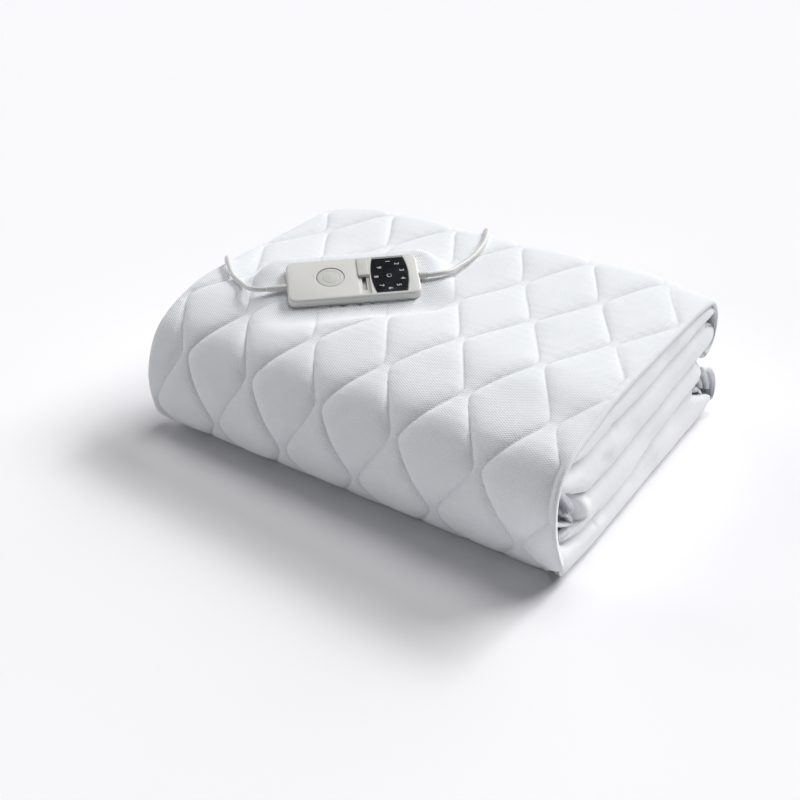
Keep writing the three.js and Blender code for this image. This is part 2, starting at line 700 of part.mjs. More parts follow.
// The strap that holds the coil's turns together: a flat loop round the coil's section.
function tie() {
  const inner = TIE.gap;
  const outer = TIE.gap + TIE.sheet;
  const half = TIE.width / 2;
  const loop = (grow, reach) => box(
    COIL.inner - grow, COIL.outer + grow, -reach, reach, COIL.low - grow, COIL.high + grow,
  );
  const solid = toSolid(loop(outer, half)).subtract(toSolid(loop(inner, half + OVERCUT)));
  const geometry = toGeometry(solid);
  return geometry.rotateZ(degrees(TIE.turn)).translate(COIL.x, COIL.y, 0);
}

function plugBody() {
  const shape = { ...PLUG, length: PLUG.width, width: PLUG.length };
  return roundedBlock(shape, 4).translate(PLUG.x, PLUG.y, 0);
}

function plugPin(side) {
  const geometry = new THREE.CylinderGeometry(PIN.radius, PIN.radius, PIN.length, 16);
  const y = PLUG.y + PLUG.length / 2 + CORD.gap + PIN.length / 2;
  return geometry.translate(PLUG.x + (side * PIN.apart) / 2, y, PLUG.height / 2);
}

const group = new THREE.Group();
const CLOTH = { color: 0xf1f1f3, roughness: 0.92, metalness: 0 };
const CASE = { color: 0xdcdad4, roughness: 0.45, metalness: 0 };
const LEAD = { color: 0xe4e4e2, roughness: 0.5, metalness: 0 };
const METAL = { color: 0xb8b8bb, roughness: 0.3, metalness: 1 };
const DARK = { color: 0x15161a, roughness: 0.2, metalness: 0 };

function addMesh(name, geometry, finish, parent = group) {
  const mesh = new THREE.Mesh(geometry, new THREE.MeshStandardMaterial(finish));
  mesh.name = name;
  parent.add(mesh);
  return mesh;
}

// A block with round corners and softened edges, its underside at z = 0.
function roundedBlock({ length, width, height, corner, edge }, arcSteps = 6) {
  const l = length / 2 - edge;
  const w = width / 2 - edge;
  const r = corner - edge;
  const shape = new THREE.Shape();
  shape.moveTo(l - r, -w);
  shape.absarc(l - r, -w + r, r, -Math.PI / 2, 0, false);
  shape.absarc(l - r, w - r, r, 0, Math.PI / 2, false);
  shape.absarc(-l + r, w - r, r, Math.PI / 2, Math.PI, false);
  shape.absarc(-l + r, -w + r, r, Math.PI, 1.5 * Math.PI, false);
  const geometry = new THREE.ExtrudeGeometry(shape, {
    depth: height - 2 * edge,
    bevelThickness: edge,
    bevelSize: edge,
    bevelSegments: arcSteps / 2,
    curveSegments: arcSteps,
  });
  return geometry.translate(0, 0, edge);
}

function box(x0, x1, y0, y1, z0, z1) {
  const geometry = new THREE.BoxGeometry(x1 - x0, y1 - y0, z1 - z0);
  return geometry.translate((x0 + x1) / 2, (y0 + y1) / 2, (z0 + z1) / 2);
}

// A standing cylinder between two heights.
function disc(x, y, radius, low, high, sides = 40) {
  const geometry = new THREE.CylinderGeometry(radius, radius, high - low, sides);
  return geometry.rotateX(Math.PI / 2).translate(x, y, (low + high) / 2);
}

// The window's outline: two straight ends and two sides that bulge.
function barrel(grow, low, high) {
  const w = WINDOW;
  const shape = new THREE.Shape();
  const ends = w.ends + grow;
  const bulge = 2 * (w.middle + grow) - ends;
  const middle = (w.from + w.to) / 2;
  shape.moveTo(w.x - ends, w.from - grow);
  shape.lineTo(w.x + ends, w.from - grow);
  shape.quadraticCurveTo(w.x + bulge, middle, w.x + ends, w.to + grow);
  shape.lineTo(w.x - ends, w.to + grow);
  shape.quadraticCurveTo(w.x - bulge, middle, w.x - ends, w.from - grow);
  const depth = high - low;
  const geometry = new THREE.ExtrudeGeometry(shape, { depth, bevelEnabled: false, curveSegments: 10 });
  return geometry.translate(0, 0, low);
}

// The control's upper shell, with the button's well, the slider's way and the window's seat.
function controlTop() {
  const WAY_HALF = SLIDER.width / 2 + SLIDE_WAY.play;
  const ABOVE = CONTROL.height + OVERCUT;
  const split = CONTROL.split + SEAM_GAP / 2;
  const half = CONTROL.length;
  const wellFloor = BUTTON.low - BUTTON.travel - SEAM_GAP;
  const cutters = [
    disc(BUTTON.x, BUTTON.y, BUTTON.radius + BUTTON.play, wellFloor, ABOVE, 48),
    box(SLIDER.x - WAY_HALF, SLIDER.x + WAY_HALF, SLIDE_WAY.from, SLIDE_WAY.to, SLIDE_WAY.floor, ABOVE),
    box(
      SLIDER.x - SLIDE_WAY.groove / 2,
      SLIDER.x + SLIDE_WAY.groove / 2,
      SLIDER.y - STEM.length / 2 - SLIDER.travel - SLIDE_WAY.endPlay,
      SLIDER.y + STEM.length / 2 + SLIDE_WAY.endPlay,
      SLIDE_WAY.grooveFloor,
      SLIDE_WAY.floor + OVERCUT,
    ),
    barrel(SEAM_GAP, WINDOW.floor, ABOVE),
  ];
  const upperHalf = toSolid(box(-half, half, -half, half, split, ABOVE));
  const shell = toSolid(roundedBlock(CONTROL)).intersect(upperHalf);
  return toGeometry(cutters.reduce((solid, cutter) => solid.subtract(toSolid(cutter)), shell));
}

function controlBase() {
  const half = CONTROL.length;
  const split = CONTROL.split - SEAM_GAP / 2;
  const lowerHalf = toSolid(box(-half, half, -half, half, -OVERCUT, split));
  return toGeometry(toSolid(roundedBlock(CONTROL)).intersect(lowerHalf));
}

// The slide switch: a flat knob with a stem in the groove.
function controlSlider() {
  const s = SLIDER;
  const [w, l] = [s.width / 2, s.length / 2];
  const knob = box(s.x - w, s.x + w, s.y - l, s.y + l, s.low, s.high);
  const stem = box(
    s.x - STEM.width / 2,
    s.x + STEM.width / 2,
    s.y - STEM.length / 2,
    s.y + STEM.length / 2,
    STEM.low,
    s.low + OVERCUT,
  );
  return toGeometry(toSolid(knob).add(toSolid(stem)));
}

// A strain relief: a cone from the control's end outwards, side 1 to the right and -1 to the left.
function relief(side, size) {
  const geometry = new THREE.CylinderGeometry(size.narrow, size.wide, size.length, 20);
  geometry.rotateZ((-side * Math.PI) / 2);
  const x = side * (CONTROL.length / 2 + SEAM_GAP + size.length / 2);
  return geometry.translate(x, size.y, size.z);
}

addMesh("quilted_panel", quiltedPanel(), CLOTH);
addMesh("skirt_right", skirt(1, TUCKS_RIGHT), CLOTH);
addMesh("skirt_left", skirt(-1, TUCKS_LEFT), CLOTH);

const control = new THREE.Group();
control.applyMatrix4(CONTROL_FRAME);
group.add(control);
addMesh("control_base", controlBase(), CASE, control);
addMesh("control_top", controlTop(), CASE, control);
addMesh("control_button", disc(BUTTON.x, BUTTON.y, BUTTON.radius, BUTTON.low, BUTTON.high), CASE, control);
addMesh("control_slider", controlSlider(), CASE, control);
addMesh("control_window", barrel(0, WINDOW.low, WINDOW.high), DARK, control);
addMesh("relief_left", relief(-1, RELIEF_LEFT), CASE, control);
addMesh("relief_right", relief(1, RELIEF_RIGHT), CASE, control);

addMesh("mains_cord", mainsCord(), LEAD);
addMesh("mains_coil", coil(), LEAD);
addMesh("coil_tie", tie(), LEAD);
addMesh("mains_tail", mainsTail(), LEAD);
addMesh("plug_body", plugBody(), CASE);
addMesh("plug_pin_1", plugPin(-1), METAL);
addMesh("plug_pin_2", plugPin(1), METAL);
addMesh("blanket_cord", blanketCord(), LEAD);
addMesh("blanket_connector", roundedBlock(CONNECTOR, 4).applyMatrix4(connectorFrame()), CASE);

export default group;
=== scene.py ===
"""An electric underblanket, quilted and folded into a bundle, with its wired control on top.

Sizes in the tables are millimetres in the part's frame, and MM turns them into Blender's metres.
"""

import math

import bmesh
import bpy
import numpy as np
from mathutils import Matrix, Vector


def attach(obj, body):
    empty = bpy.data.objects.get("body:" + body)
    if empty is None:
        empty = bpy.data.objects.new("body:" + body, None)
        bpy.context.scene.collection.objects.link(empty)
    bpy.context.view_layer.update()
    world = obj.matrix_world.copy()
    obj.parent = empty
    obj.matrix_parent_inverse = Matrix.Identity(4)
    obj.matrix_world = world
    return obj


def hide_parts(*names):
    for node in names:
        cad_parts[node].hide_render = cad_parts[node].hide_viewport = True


bl_info = {
    "name": "Folded electric underblanket",
    "version": (1, 0, 0),
    "blender": (4, 5, 0),
    "location": "View3D > Sidebar > Blanket",
    "description": "Builds a folded quilted underblanket with its control and leads",
    "category": "Object",
}

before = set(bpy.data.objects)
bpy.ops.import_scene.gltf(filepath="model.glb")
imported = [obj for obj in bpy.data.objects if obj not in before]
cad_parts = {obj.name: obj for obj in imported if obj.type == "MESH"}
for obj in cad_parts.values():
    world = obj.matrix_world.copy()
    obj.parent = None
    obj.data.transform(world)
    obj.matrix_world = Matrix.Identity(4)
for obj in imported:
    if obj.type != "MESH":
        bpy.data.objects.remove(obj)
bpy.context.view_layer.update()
MM = 0.001
# The size of a ring that stands for a closed pole
POINT = 1e-3

# The bundle: its width square to the ends, how far the ends lean, and its sheet
WIDTH = 483
LEAN = -0.09
SHEET = 8.5
EDGE_SHEET = {"thickness": 8, "from": 18, "to": 34}
INNER_LAYERS = 7
LAYER_FILL = 0.66
JOIN_GAP = 0.4

# The quilting's lines: the distance between them, and their swings towards and away from each other
LINE_PITCH = 44
FIRST_LINE = -216
LINES = 11
HALF_WAVE = 70
FIRST_NECK = 57
# The lines drift towards -x on their way back, less so on the left of the front.
LINE_DRIFT = {"each": 0.06, "zero": 300, "low": 40, "from": 165, "to": 460, "left": 0.15}
LINE_MARGIN = 7
FLOOR_FADE = 40

# The quilting's relief: between narrower lines than FULL_PUFF the cloth rises less, and an edge of
# its rise is a steep step and a slow swell
FULL_PUFF = 45
NARROW_POWER = 0.35
RISE = {"valley": 0.9, "swell": 11, "step_share": 0.6}
PUCKER = {"high": 0.45, "reach": 6, "stitch": 1.5, "wave": 1.9, "sway": 2.5, "size": 90, "seed": 3.1}
UNEVEN = ({"high": 0.9, "size": 120, "seed": 1.3}, {"high": 0.35, "size": 47, "seed": 2.2})
MOST_PROUD = 0.9
HELD_SHARE = 0.12
EDGE_TURN = 0.7
NO_SEAM = 50.0
# On the top the quilting lies flatter: the share of its depth, and where along the wrap it sets in
FLAT_TOP = {"share": 0.72, "from": 150, "to": 240}
# The floor sheet stops short of the ends, so that the skirts come down to the floor.
FLOOR_INSET = {"by": 17.2, "from": 20, "to": 42}

# The wrap's outer face, from the notch at the back over the top, round the front and along the floor.
# Each row: y and z at the right end, then y and z at the left end.
OUTLINE = np.array([
    (146, 81, 142, 75),
    (157, 83, 152, 77),
    (170, 91, 166, 84),
    (176, 108, 175, 100),
    (173, 126, 172, 122),
    (159, 143, 154, 138),
    (129, 150, 124, 141),
    (54, 150, 54, 140),
    (-36, 148, -36, 139),
    (-91, 145, -96, 136),
    (-131, 137, -131, 128),
    (-166, 130, -158, 116),
    (-184, 121, -174, 102),
    (-195, 107, -184, 84),
    (-199, 88, -190, 64),
    (-196, 62, -190, 42),
    (-188, 40, -187, 25),
    (-177, 19, -182, 12),
    (-162, 4, -171, 3),
    (-146, 0, -152, 0),
    (-6, 0, -6, 0),
    (159, 0, 154, 0),
    (184, 5, 178, 5),
    (197, 18, 190, 18),
    (199, 32, 192, 30),
    (190, 50, 184, 46),
    (170, 66, 166, 62),
    (146, 74, 142, 68),
], float)
FLOOR_START = 19
FLOOR_END = 21
TOP_FACE = {"z": 90, "up": 0.5}
SWELL = {"back": 12, "up": 4, "ends": 75, "from": 40, "to": 140, "low": 95, "high": 125}

# Heights by depth: the wrap's top at both ends, and the parting between the two packs of layers
LEVELS = {
    "y": (-176, -156, -130, -91, -36, 54, 129, 150),
    "topR": (124, 132, 137.4, 145, 148, 150, 150, 146),
    "topL": (100, 117, 128, 136.6, 139, 140, 138.6, 135),
    "partR": (74, 70, 64, 66, 70, 76, 79, 81),
    "partL": (66, 67, 68, 69, 70, 71, 72, 73),
}
FOLD_ENDS = {
    "z": (0, 31, 50, 66, 84, 110, 150),
    "front": (-139, -141, -147, -151, -164, -170, -160),
    "back": (152, 160, 150, 138, 140, 146, 134),
}

# The skirt's tucks between its bands: heights by depth
TUCKS_RIGHT = {
    "y": (-158, -129, -83, -24, 27, 82, 145),
    "one": (120, 109, 111, 110, 112, 116, 121),
    "two": (76, 64, 64, 70, 72, 79, 84),
    "three": (43, 32, 28, 30, 44, 48, 54),
}
TUCKS_LEFT = {
    "y": (-158, 0, 145),
    "one": (99, 104, 104),
    "two": (68, 70, 72),
    "three": (36, 37, 38),
}
SKIRT = {"sheet": 2.5, "tuck": 14, "front": -158, "back": 138, "curl": 16, "inward": 0.8, "flat": 0.75}
SKIRT_STEPS = {"depth": 150, "band": 18}
SKIRT_SEAM = {"right": 6.8, "left": 6.1}
SKIRT_LOW = {"z": 0.8, "ahead": 4.2}
TUCK_SWAY = {"high": 1.2, "apart": 40.0, "size": 130}
SKIRT_WAVES = ({"high": 0.9, "up": 1.8, "size": 85}, {"high": 0.5, "up": 2.5, "size": 34})

# Where the right skirt's bands end at the front and back, by height, and how far the ends curl in.
# The bands are drawn out to those places over the depths in SKIRT_DRAWN.
SKIRT_DRAWN = {"front": -95, "back": 85}
FRONT_ENDS = {
    "z": (0.8, 4, 10, 19, 30, 40, 46, 55, 66, 80, 90, 99, 108, 116, 124, 131),
    "y": (-158, -163, -169, -175, -177, -180, -142, -140, -143, -152, -168, -185, -186, -180, -168, -160),
    "curl": (0.1, 0.1, 0.1, 0.1, 0.1, 0.2, 0.8, 0.8, 0.8, 0.8, 0.6, 0.3, 0.2, 0.2, 0.2, 0.3),
}
BACK_ENDS = {
    "z": (0.8, 10, 20, 28, 36, 43, 54, 66, 78, 81, 86, 92, 100, 108, 114, 121, 127, 139),
    "y": (165, 180, 188, 176, 152, 138, 148, 153, 144, 141, 153, 166, 173, 172, 156, 158, 168, 150),
    "curl": (0.1, 0.1, 0.1, 0.3, 0.6, 0.8, 0.8, 0.8, 0.8, 0.6, 0.3, 0.1, 0.1, 0.3, 0.8, 0.6, 0.3, 0.3),
}

# Creases of the right skirt, in its own depth and height: two ends, half width and depth
CREASES_RIGHT = (
    {"from": (-108, 44), "to": (-103, 20), "wide": 2.2, "deep": 2.4},
    {"from": (-92, 119), "to": (-66, 104), "wide": 3.5, "deep": 2.6},
    {"from": (-112, 92), "to": (-80, 84), "wide": 3.0, "deep": 1.6},
    {"from": (-76, 96), "to": (-20, 90), "wide": 3.5, "deep": 1.2},
    {"from": (-60, 126), "to": (10, 131), "wide": 3.5, "deep": 1.4},
    {"from": (0, 124), "to": (62, 136), "wide": 4.0, "deep": 1.5},
    {"from": (-40, 52), "to": (28, 60), "wide": 4.0, "deep": 1.4},
    {"from": (-98, 18), "to": (-58, 22), "wide": 3.2, "deep": 1.8},
    {"from": (-30, 18), "to": (36, 26), "wide": 4.0, "deep": 1.6},
    {"from": (60, 34), "to": (120, 40), "wide": 4.0, "deep": 1.6},
    {"from": (40, 92), "to": (118, 102), "wide": 4.0, "deep": 1.5},
)
CREASES_LEFT = (
    {"from": (-120, 84), "to": (-40, 90), "wide": 4.0, "deep": 1.8},
    {"from": (10, 52), "to": (90, 56), "wide": 4.0, "deep": 1.8},
    {"from": (-90, 20), "to": (20, 24), "wide": 4.0, "deep": 1.8},
)

# Cloth ends that curl in the right end's hollows, three in front and five behind: how far in from the
# end each starts, and its section as (y, z) points
LIPS = (
    {"in": 5, "path": ((-189, 104), (-178, 99), (-165, 88), (-154, 75), (-148, 66), (-150, 60))},
    {"in": 7, "path": ((-158, 63), (-149, 58), (-144, 51), (-146, 46), (-162, 53), (-181, 66))},
    {"in": 12, "path": ((-182, 56), (-166, 45), (-150, 38), (-142, 37))},
    {"in": 4, "path": ((146, 116), (158, 115), (166, 110), (168, 103))},
    {"in": 9, "path": ((150, 108), (160, 106), (165, 99), (160, 92))},
    {"in": 4, "path": ((146, 68), (160, 62), (173, 53), (183, 40), (186, 30))},
    {"in": 8, "path": ((148, 57), (158, 54), (168, 46), (176, 34))},
    {"in": 5, "path": ((144, 45), (154, 43), (163, 36), (168, 28))},
)
LIP = {"sheet": 4.5, "long": 38, "rows": 12, "rounded": 2.0, "thinner": 0.7, "step": 1.5}
LIP_WAVE = {"high": 1.2, "length": 6}

# The control, with its own frame at the middle of its underside
CONTROL = {"length": 133, "width": 60, "height": 14, "split": 6}
CONTROL_TOP = Vector((-75.4, -37.6, 154.6))
CONTROL_TURN = 44.5
CONTROL_TILT = 19
CONTROL_RISE = 2.2
SEAM_GAP = 0.3
BUTTON = {"x": -22.6, "y": 2.3, "radius": 13.8, "low": 10.5, "high": 14.7}
SLIDER = {"x": 10.8, "y": 13.2, "width": 11.2, "length": 25.6, "low": 12.3, "high": 15.2}
STEM = {"width": 3.6, "length": 10, "low": 7.9}
WINDOW = {"back": 26.8, "high": 14.4}
RELIEF_LEFT = {"length": 20, "y": -4.3, "z": 10.2, "wide": 3.7, "narrow": 2.9}
RELIEF_RIGHT = {"length": 8, "y": -1.5, "z": 10.2, "wide": 3.7, "narrow": 3.2}
RELIEF_RINGS = {"deep": 0.22, "pitch": 2.6, "below": -0.2}
# The dial's numbers, each with its middle's x and y on the control
DIAL = (
    ("1", 36.7, 19.0),
    ("2", 45.3, 14.6),
    ("3", 49.4, 4.5),
    ("4", 49.5, -7.6),
    ("5", 44.3, -17.3),
    ("6", 35.6, -21.3),
    ("7", 27.0, -16.3),
    ("8", 22.9, -3.0),
    ("9", 27.0, 10.5),
)
DIAL_RING = {"x": 36.3, "y": -2.3, "radius": 2.0, "line": 0.5, "thick": 0.06, "lift": 0.02}
DIAL_TYPE = {"size": 6.6, "half_thick": 0.03, "lift": 0.05}

# The leads, the mains lead's coil with its tie and plug, and the blanket's connector
CORD = {"radius": 2.5, "gap": 0.4, "straight": 3}
COIL = {"x": -322, "y": 104, "inner": 22, "outer": 33, "low": 1.8, "high": 23.4, "meet": 35.3}
COIL_LAYERS = 4
STRAP = {"sheet": 1.15, "width": 7, "turn": 215, "clear": 0.62, "square_r": 7, "square_z": 9, "sides": 64}
PLUG = {"x": -289, "y": 200.5, "length": 38, "width": 27, "height": 14}
PLUG_NECK = {"half": 3.8, "to": 0.45}
PLUG_RIBS = {"number": 9, "high": 0.5, "full": (0.55, 0.8), "gone": (0.45, 0.9)}
PLUG_FACE = {"from": 0.94, "share": 0.88}
PIN = {"radius": 2, "length": 19, "apart": 18.6, "sleeve": 9, "step": 0.3, "thinner": 0.15}
CONNECTOR = {"width": 24, "height": 11}
CONNECTOR_AT = {"x": 112, "y": 174, "z": 62.7, "slope": -26, "entry": 14}
# The leads' routes from the control, as points of the part
MAINS_ROUTE = (
    (-142.7, -104.4, 146),
    (-148.2, -106, 145.6),
    (-153.8, -105.5, 144.8),
    (-162.5, -101.8, 143.2),
    (-175.4, -93.8, 140.5),
    (-190, -87.5, 140),
    (-203, -80.5, 141),
    (-214, -72.5, 143.3),
    (-225, -63.5, 145),
    (-236, -54, 141.5),
    (-243, -47.5, 131),
    (-247.5, -42, 112),
    (-251, -36, 84),
    (-255, -27, 52),
    (-261, -14, 26),
    (-270, 4, 8),
    (-280, 27, 3.2),
    (-287, 48, 3.2),
    (-291.2, 68, 4.3),
)
TAIL_ROUTE = (
    (-292.5, 123.5, 20),
    (-291, 140, 15),
    (-290, 158, 9),
    (-289, 172, 7.2),
)
BLANKET_ROUTE = (
    (-10.8, 30, 153.4),
    (-10.3, 42, 152),
    (-12.4, 56, 151),
    (-13.2, 71, 151),
    (-15, 86, 151.6),
    (-18.5, 101, 152.4),
    (-23.5, 117, 153),
    (-31, 134, 153.2),
    (-41, 152, 152.5),
    (-53, 169, 148),
    (-64, 182, 138.5),
    (-72, 190, 124),
    (-78, 193, 106),
    (-83, 197, 80),
    (-88, 204, 50),
    (-90, 213, 24),
    (-84, 225, 9),
    (-66, 238, 3.6),
    (-38, 247, 3.2),
    (-5, 251, 3),
    (36, 249, 3.2),
    (70, 241, 6),
    (93, 231, 15),
    (106, 221, 28),
    (110.5, 212, 40),
)

# The camera: azimuth and elevation of the view, and the point that it looks at. Lights come from far
# off, and each row has the direction towards its light, its strength and the angle that it fills.
VIEW = {"azimuth": 37.32, "elevation": 28.15, "distance": 1277.98, "focal": 55.53, "sensor": 36}
LOOK_AT = Vector((-25.2, -25.9, 26.0))
LIGHTS = (
    {"name": "above", "from": (0, 0.25, 1), "strength": 1.0, "angle": 30},
    {"name": "back", "from": (0.1, 1, 0.85), "strength": 0.9, "angle": 12},
    {"name": "back_right", "from": (0.35, 0.7, 0.65), "strength": 1.5, "angle": 25},
    {"name": "low_back", "from": (0, 1, 0.45), "strength": 1.0, "angle": 40},
    {"name": "left", "from": (-1, 0.1, 0.6), "strength": 0.6, "angle": 50},
    {"name": "front_left", "from": (-0.8, -1, 0.1), "strength": 0.7, "angle": 20},
)
SKY = 0.01
FLOOR_RINGS = (0.01, 200, 600, 1500, 4000, 10000, 30000)


def smooth(a, b, x):
    """0 before a and 1 after b, with a soft S between: t squared times (3 - 2t)."""
    t = np.clip((np.asarray(x, float) - a) / (b - a), 0, 1)
    return t * t * (3 - 2 * t)


def mix(a, b, t):
    """a where t is 0 and b where t is 1."""
    return a + (b - a) * t


def read(rows, column, at, key="y"):
    """A column of a table at a value of its key column, straight between the rows."""
    return np.interp(at, rows[key], rows[column])


def lean(x, y, z):
    """Bundle coordinates as points of the part: x moves by LEAN for each millimetre of depth."""
    x, y, z = np.broadcast_arrays(x, y, z)
    return np.stack([x + LEAN * y, y, z], -1)


def through(points, per):
    """A uniform Catmull-Rom curve through the points, with per steps for each stretch."""
    p = np.asarray(points, float)
    p = np.vstack([2 * p[0] - p[1], p, 2 * p[-1] - p[-2]])
    a, b, c, d = (q[:, None, :] for q in (p[:-3], p[1:-2], p[2:-1], p[3:]))
    t = (np.arange(per) / per)[None, :, None]
    curve = 2 * b + (c - a) * t + (2 * a - 5 * b + 4 * c - d) * t**2 + (3 * (b - c) + d - a) * t**3
    return np.vstack([0.5 * curve.reshape(-1, p.shape[1]), p[-2]])


def lengths(points):
    """The length along the points up to each of them."""
    steps = np.linalg.norm(np.diff(points, axis=0), axis=1)
    return np.concatenate([[0], np.cumsum(steps)])


def evenly(points, step):
    """The same path with points a step apart."""
    at = lengths(points)
    places = np.linspace(0, at[-1], max(2, round(at[-1] / step) + 1))
    return np.stack([np.interp(places, at, points[:, k]) for k in range(points.shape[1])], -1)


def grid_quads(first, rows, columns):
    """Four-sided faces of a grid of points whose numbers start at first."""
    n = first + np.arange(rows * columns).reshape(rows, columns)
    return np.stack([n[:-1, :-1], n[1:, :-1], n[1:, 1:], n[:-1, 1:]], -1).reshape(-1, 4)


def ring_quads(rows, sides):
    """Four-sided faces between closed rings of points."""
    n = np.arange(rows * sides).reshape(rows, sides)
    m = np.roll(n, -1, axis=1)
    return np.stack([n[:-1], m[:-1], m[1:], n[1:]], -1).reshape(-1, 4)


def squared(wave, squareness):
    """A sine or cosine made squarer: its sign times its size to the power of 2 / squareness."""
    return np.sign(wave) * np.abs(wave) ** (2 / squareness)


def shell(outer, inner):
    """A closed sheet: an outer grid, an inner grid that faces the other way, and the rim between."""
    rows, columns = outer.shape[:2]
    count = rows * columns
    n = np.arange(count).reshape(rows, columns)
    ring = np.concatenate([n[0, :-1], n[:-1, -1], n[-1, :0:-1], n[:0:-1, 0]])
    after = np.roll(ring, -1)
    rim = np.stack([ring, after, after + count, ring + count], -1)
    back = grid_quads(count, rows, columns)[:, ::-1]
    points = np.concatenate([outer.reshape(-1, 3), inner.reshape(-1, 3)])
    return facing_out(points, np.concatenate([grid_quads(0, rows, columns), back, rim]))


def prism(rings):
    """A closed solid through equal rings of points, with a fan over each end ring's middle line."""
    count, n = rings.shape[:2]
    here = np.arange(n)
    there = np.roll(here, -1)
    quads = [np.stack([k * n + here, k * n + there, (k + 1) * n + there, (k + 1) * n + here], -1)
             for k in range(count - 1)]
    half = np.arange(n // 2 - 1)
    cap = np.stack([half, half + 1, n - 2 - half, n - 1 - half], -1)
    ends = [cap, (count - 1) * n + cap[:, ::-1]]
    return facing_out(rings.reshape(-1, 3), np.concatenate([*quads, *ends]))


def facing_out(points, quads):
    """The faces, turned round where they enclose a negative volume."""
    a, b, c, d = (points[quads[:, k]] for k in range(4))
    volume = np.einsum("ij,ij->", a, np.cross(b, c)) + np.einsum("ij,ij->", a, np.cross(c, d))
    return points, quads if volume > 0 else quads[:, ::-1]


def join(*parts):
    """Several (points, faces) as one."""
    points, faces, first = [], [], 0
    for p, f in parts:
        points.append(p)
        faces.append(np.asarray(f) + first)
        first += len(p)
    return np.concatenate(points), np.concatenate(faces)


def add(name, data):
    """An object of this data, in the scene."""
    made = bpy.data.objects.new(name, data)
    bpy.context.scene.collection.objects.link(made)
    return made


def coordinates(mesh):
    """The mesh's points as an array."""
    flat = np.empty(len(mesh.vertices) * 3)
    mesh.vertices.foreach_get("co", flat)
    return flat.reshape(-1, 3)


def piece(name, points, quads, slot, finish, body="blanket", uv=None, fields=None):
    """A smooth mesh object from points in millimetres, its map and fields given for each point."""
    mesh = bpy.data.meshes.new(name)
    mesh.from_pydata((np.asarray(points) * MM).tolist(), [], np.asarray(quads).tolist())
    mesh.shade_smooth()
    if uv is not None:
        corners = np.empty(len(mesh.loops), np.int32)
        mesh.loops.foreach_get("vertex_index", corners)
        layer = mesh.uv_layers.new(name="cloth")
        layer.data.foreach_set("uv", (np.asarray(uv)[corners] * MM).ravel())
    for key, values in (fields or {}).items():
        mesh.attributes.new(key, "FLOAT", "POINT").data.foreach_set("value", np.asarray(values, np.float32))
    mesh.update()
    made = add(name, mesh)
    mesh.materials.append(finish)
    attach(made, body)
    return made


def sharpen(made, degrees):
    """Keeps edges that turn by more than this angle sharp."""
    made.data.set_sharp_from_angle(angle=math.radians(degrees))


def end_curve(side):
    """One end's outline as lengths from the floor's front edge, upwards positive, with y and z."""
    per = 24
    curve = through(OUTLINE[:, side : side + 2], per)
    row = np.arange(len(curve)) / per
    flat = (row >= FLOOR_START) & (row <= FLOOR_END)
    curve[:, 1] = np.where(flat, 0, np.maximum(curve[:, 1], 0))
    at = lengths(curve)
    s = at[FLOOR_START * per] - at
    return {"s": s[::-1], "y": curve[::-1, 0], "z": curve[::-1, 1]}


END_RIGHT = end_curve(0)
END_LEFT = end_curve(2)
END_LEFT["s"] = END_LEFT["s"] * np.where(
    END_LEFT["s"] < 0,
    END_RIGHT["s"][0] / END_LEFT["s"][0],
    END_RIGHT["s"][-1] / END_LEFT["s"][-1],
)
FLOOR_BACK = END_RIGHT["s"][np.nonzero(END_RIGHT["z"] == 0)[0][0]]


def ripple(x, y, size, seed):
    """Slow uneven waves between about -1 and 1: four sines in turned directions."""
    total = 0
    for k in range(4):
        turn = seed * 1.7 + k * 2.4
        along = x * math.cos(turn) + y * math.sin(turn)
        total = total + np.sin(2 * math.pi * along / (size * (1 + 0.37 * k)) + seed * (k + 1) * 2.1)
    return total / 4


def outline(x, s):
    """The wrap's outer face before quilting, between its two ends, fuller at the back of the top."""
    t = np.clip(x / WIDTH + 0.5, 0, 1)
    y = mix(read(END_LEFT, "y", s, "s"), read(END_RIGHT, "y", s, "s"), t)
    z = mix(read(END_LEFT, "z", s, "s"), read(END_RIGHT, "z", s, "s"), t)
    full = smooth(0, SWELL["ends"], WIDTH / 2 - np.abs(x))
    share = full * smooth(SWELL["from"], SWELL["to"], y) * smooth(SWELL["low"], SWELL["high"], z)
    return y + SWELL["back"] * share, z + SWELL["up"] * share


def outward(x, s):
    """The direction out of the wrap in its section, square to the chord over a short stretch."""
    near = 3
    ya, za = outline(x, s - near)
    yb, zb = outline(x, s + near)
    length = np.maximum(np.hypot(yb - ya, zb - za), 1e-6)
    return -(zb - za) / length, (yb - ya) / length


def control_frame():
    """The control's axes and the middle of its underside, as part of one matrix in millimetres."""
    turn, tilt, rise = (math.radians(a) for a in (CONTROL_TURN, CONTROL_TILT, CONTROL_RISE))
    along = Vector((math.cos(turn), math.sin(turn), 0))
    flat_side = Vector((-math.sin(turn), math.cos(turn), 0))
    side = flat_side * math.cos(tilt) + Vector((0, 0, math.sin(tilt)))
    up = along.cross(side).normalized()
    along = (along * math.cos(rise) + up * math.sin(rise)).normalized()
    up = along.cross(side).normalized()
    matrix = Matrix((along, side, up)).transposed().to_4x4()
    matrix.translation = CONTROL_TOP - up * CONTROL["height"]
    return matrix


CONTROL_FRAME = np.array(control_frame())


def on_control(points):
    """Points of the control's own frame as points of the part."""
    return np.asarray(points, float) @ CONTROL_FRAME[:3, :3].T + CONTROL_FRAME[:3, 3]


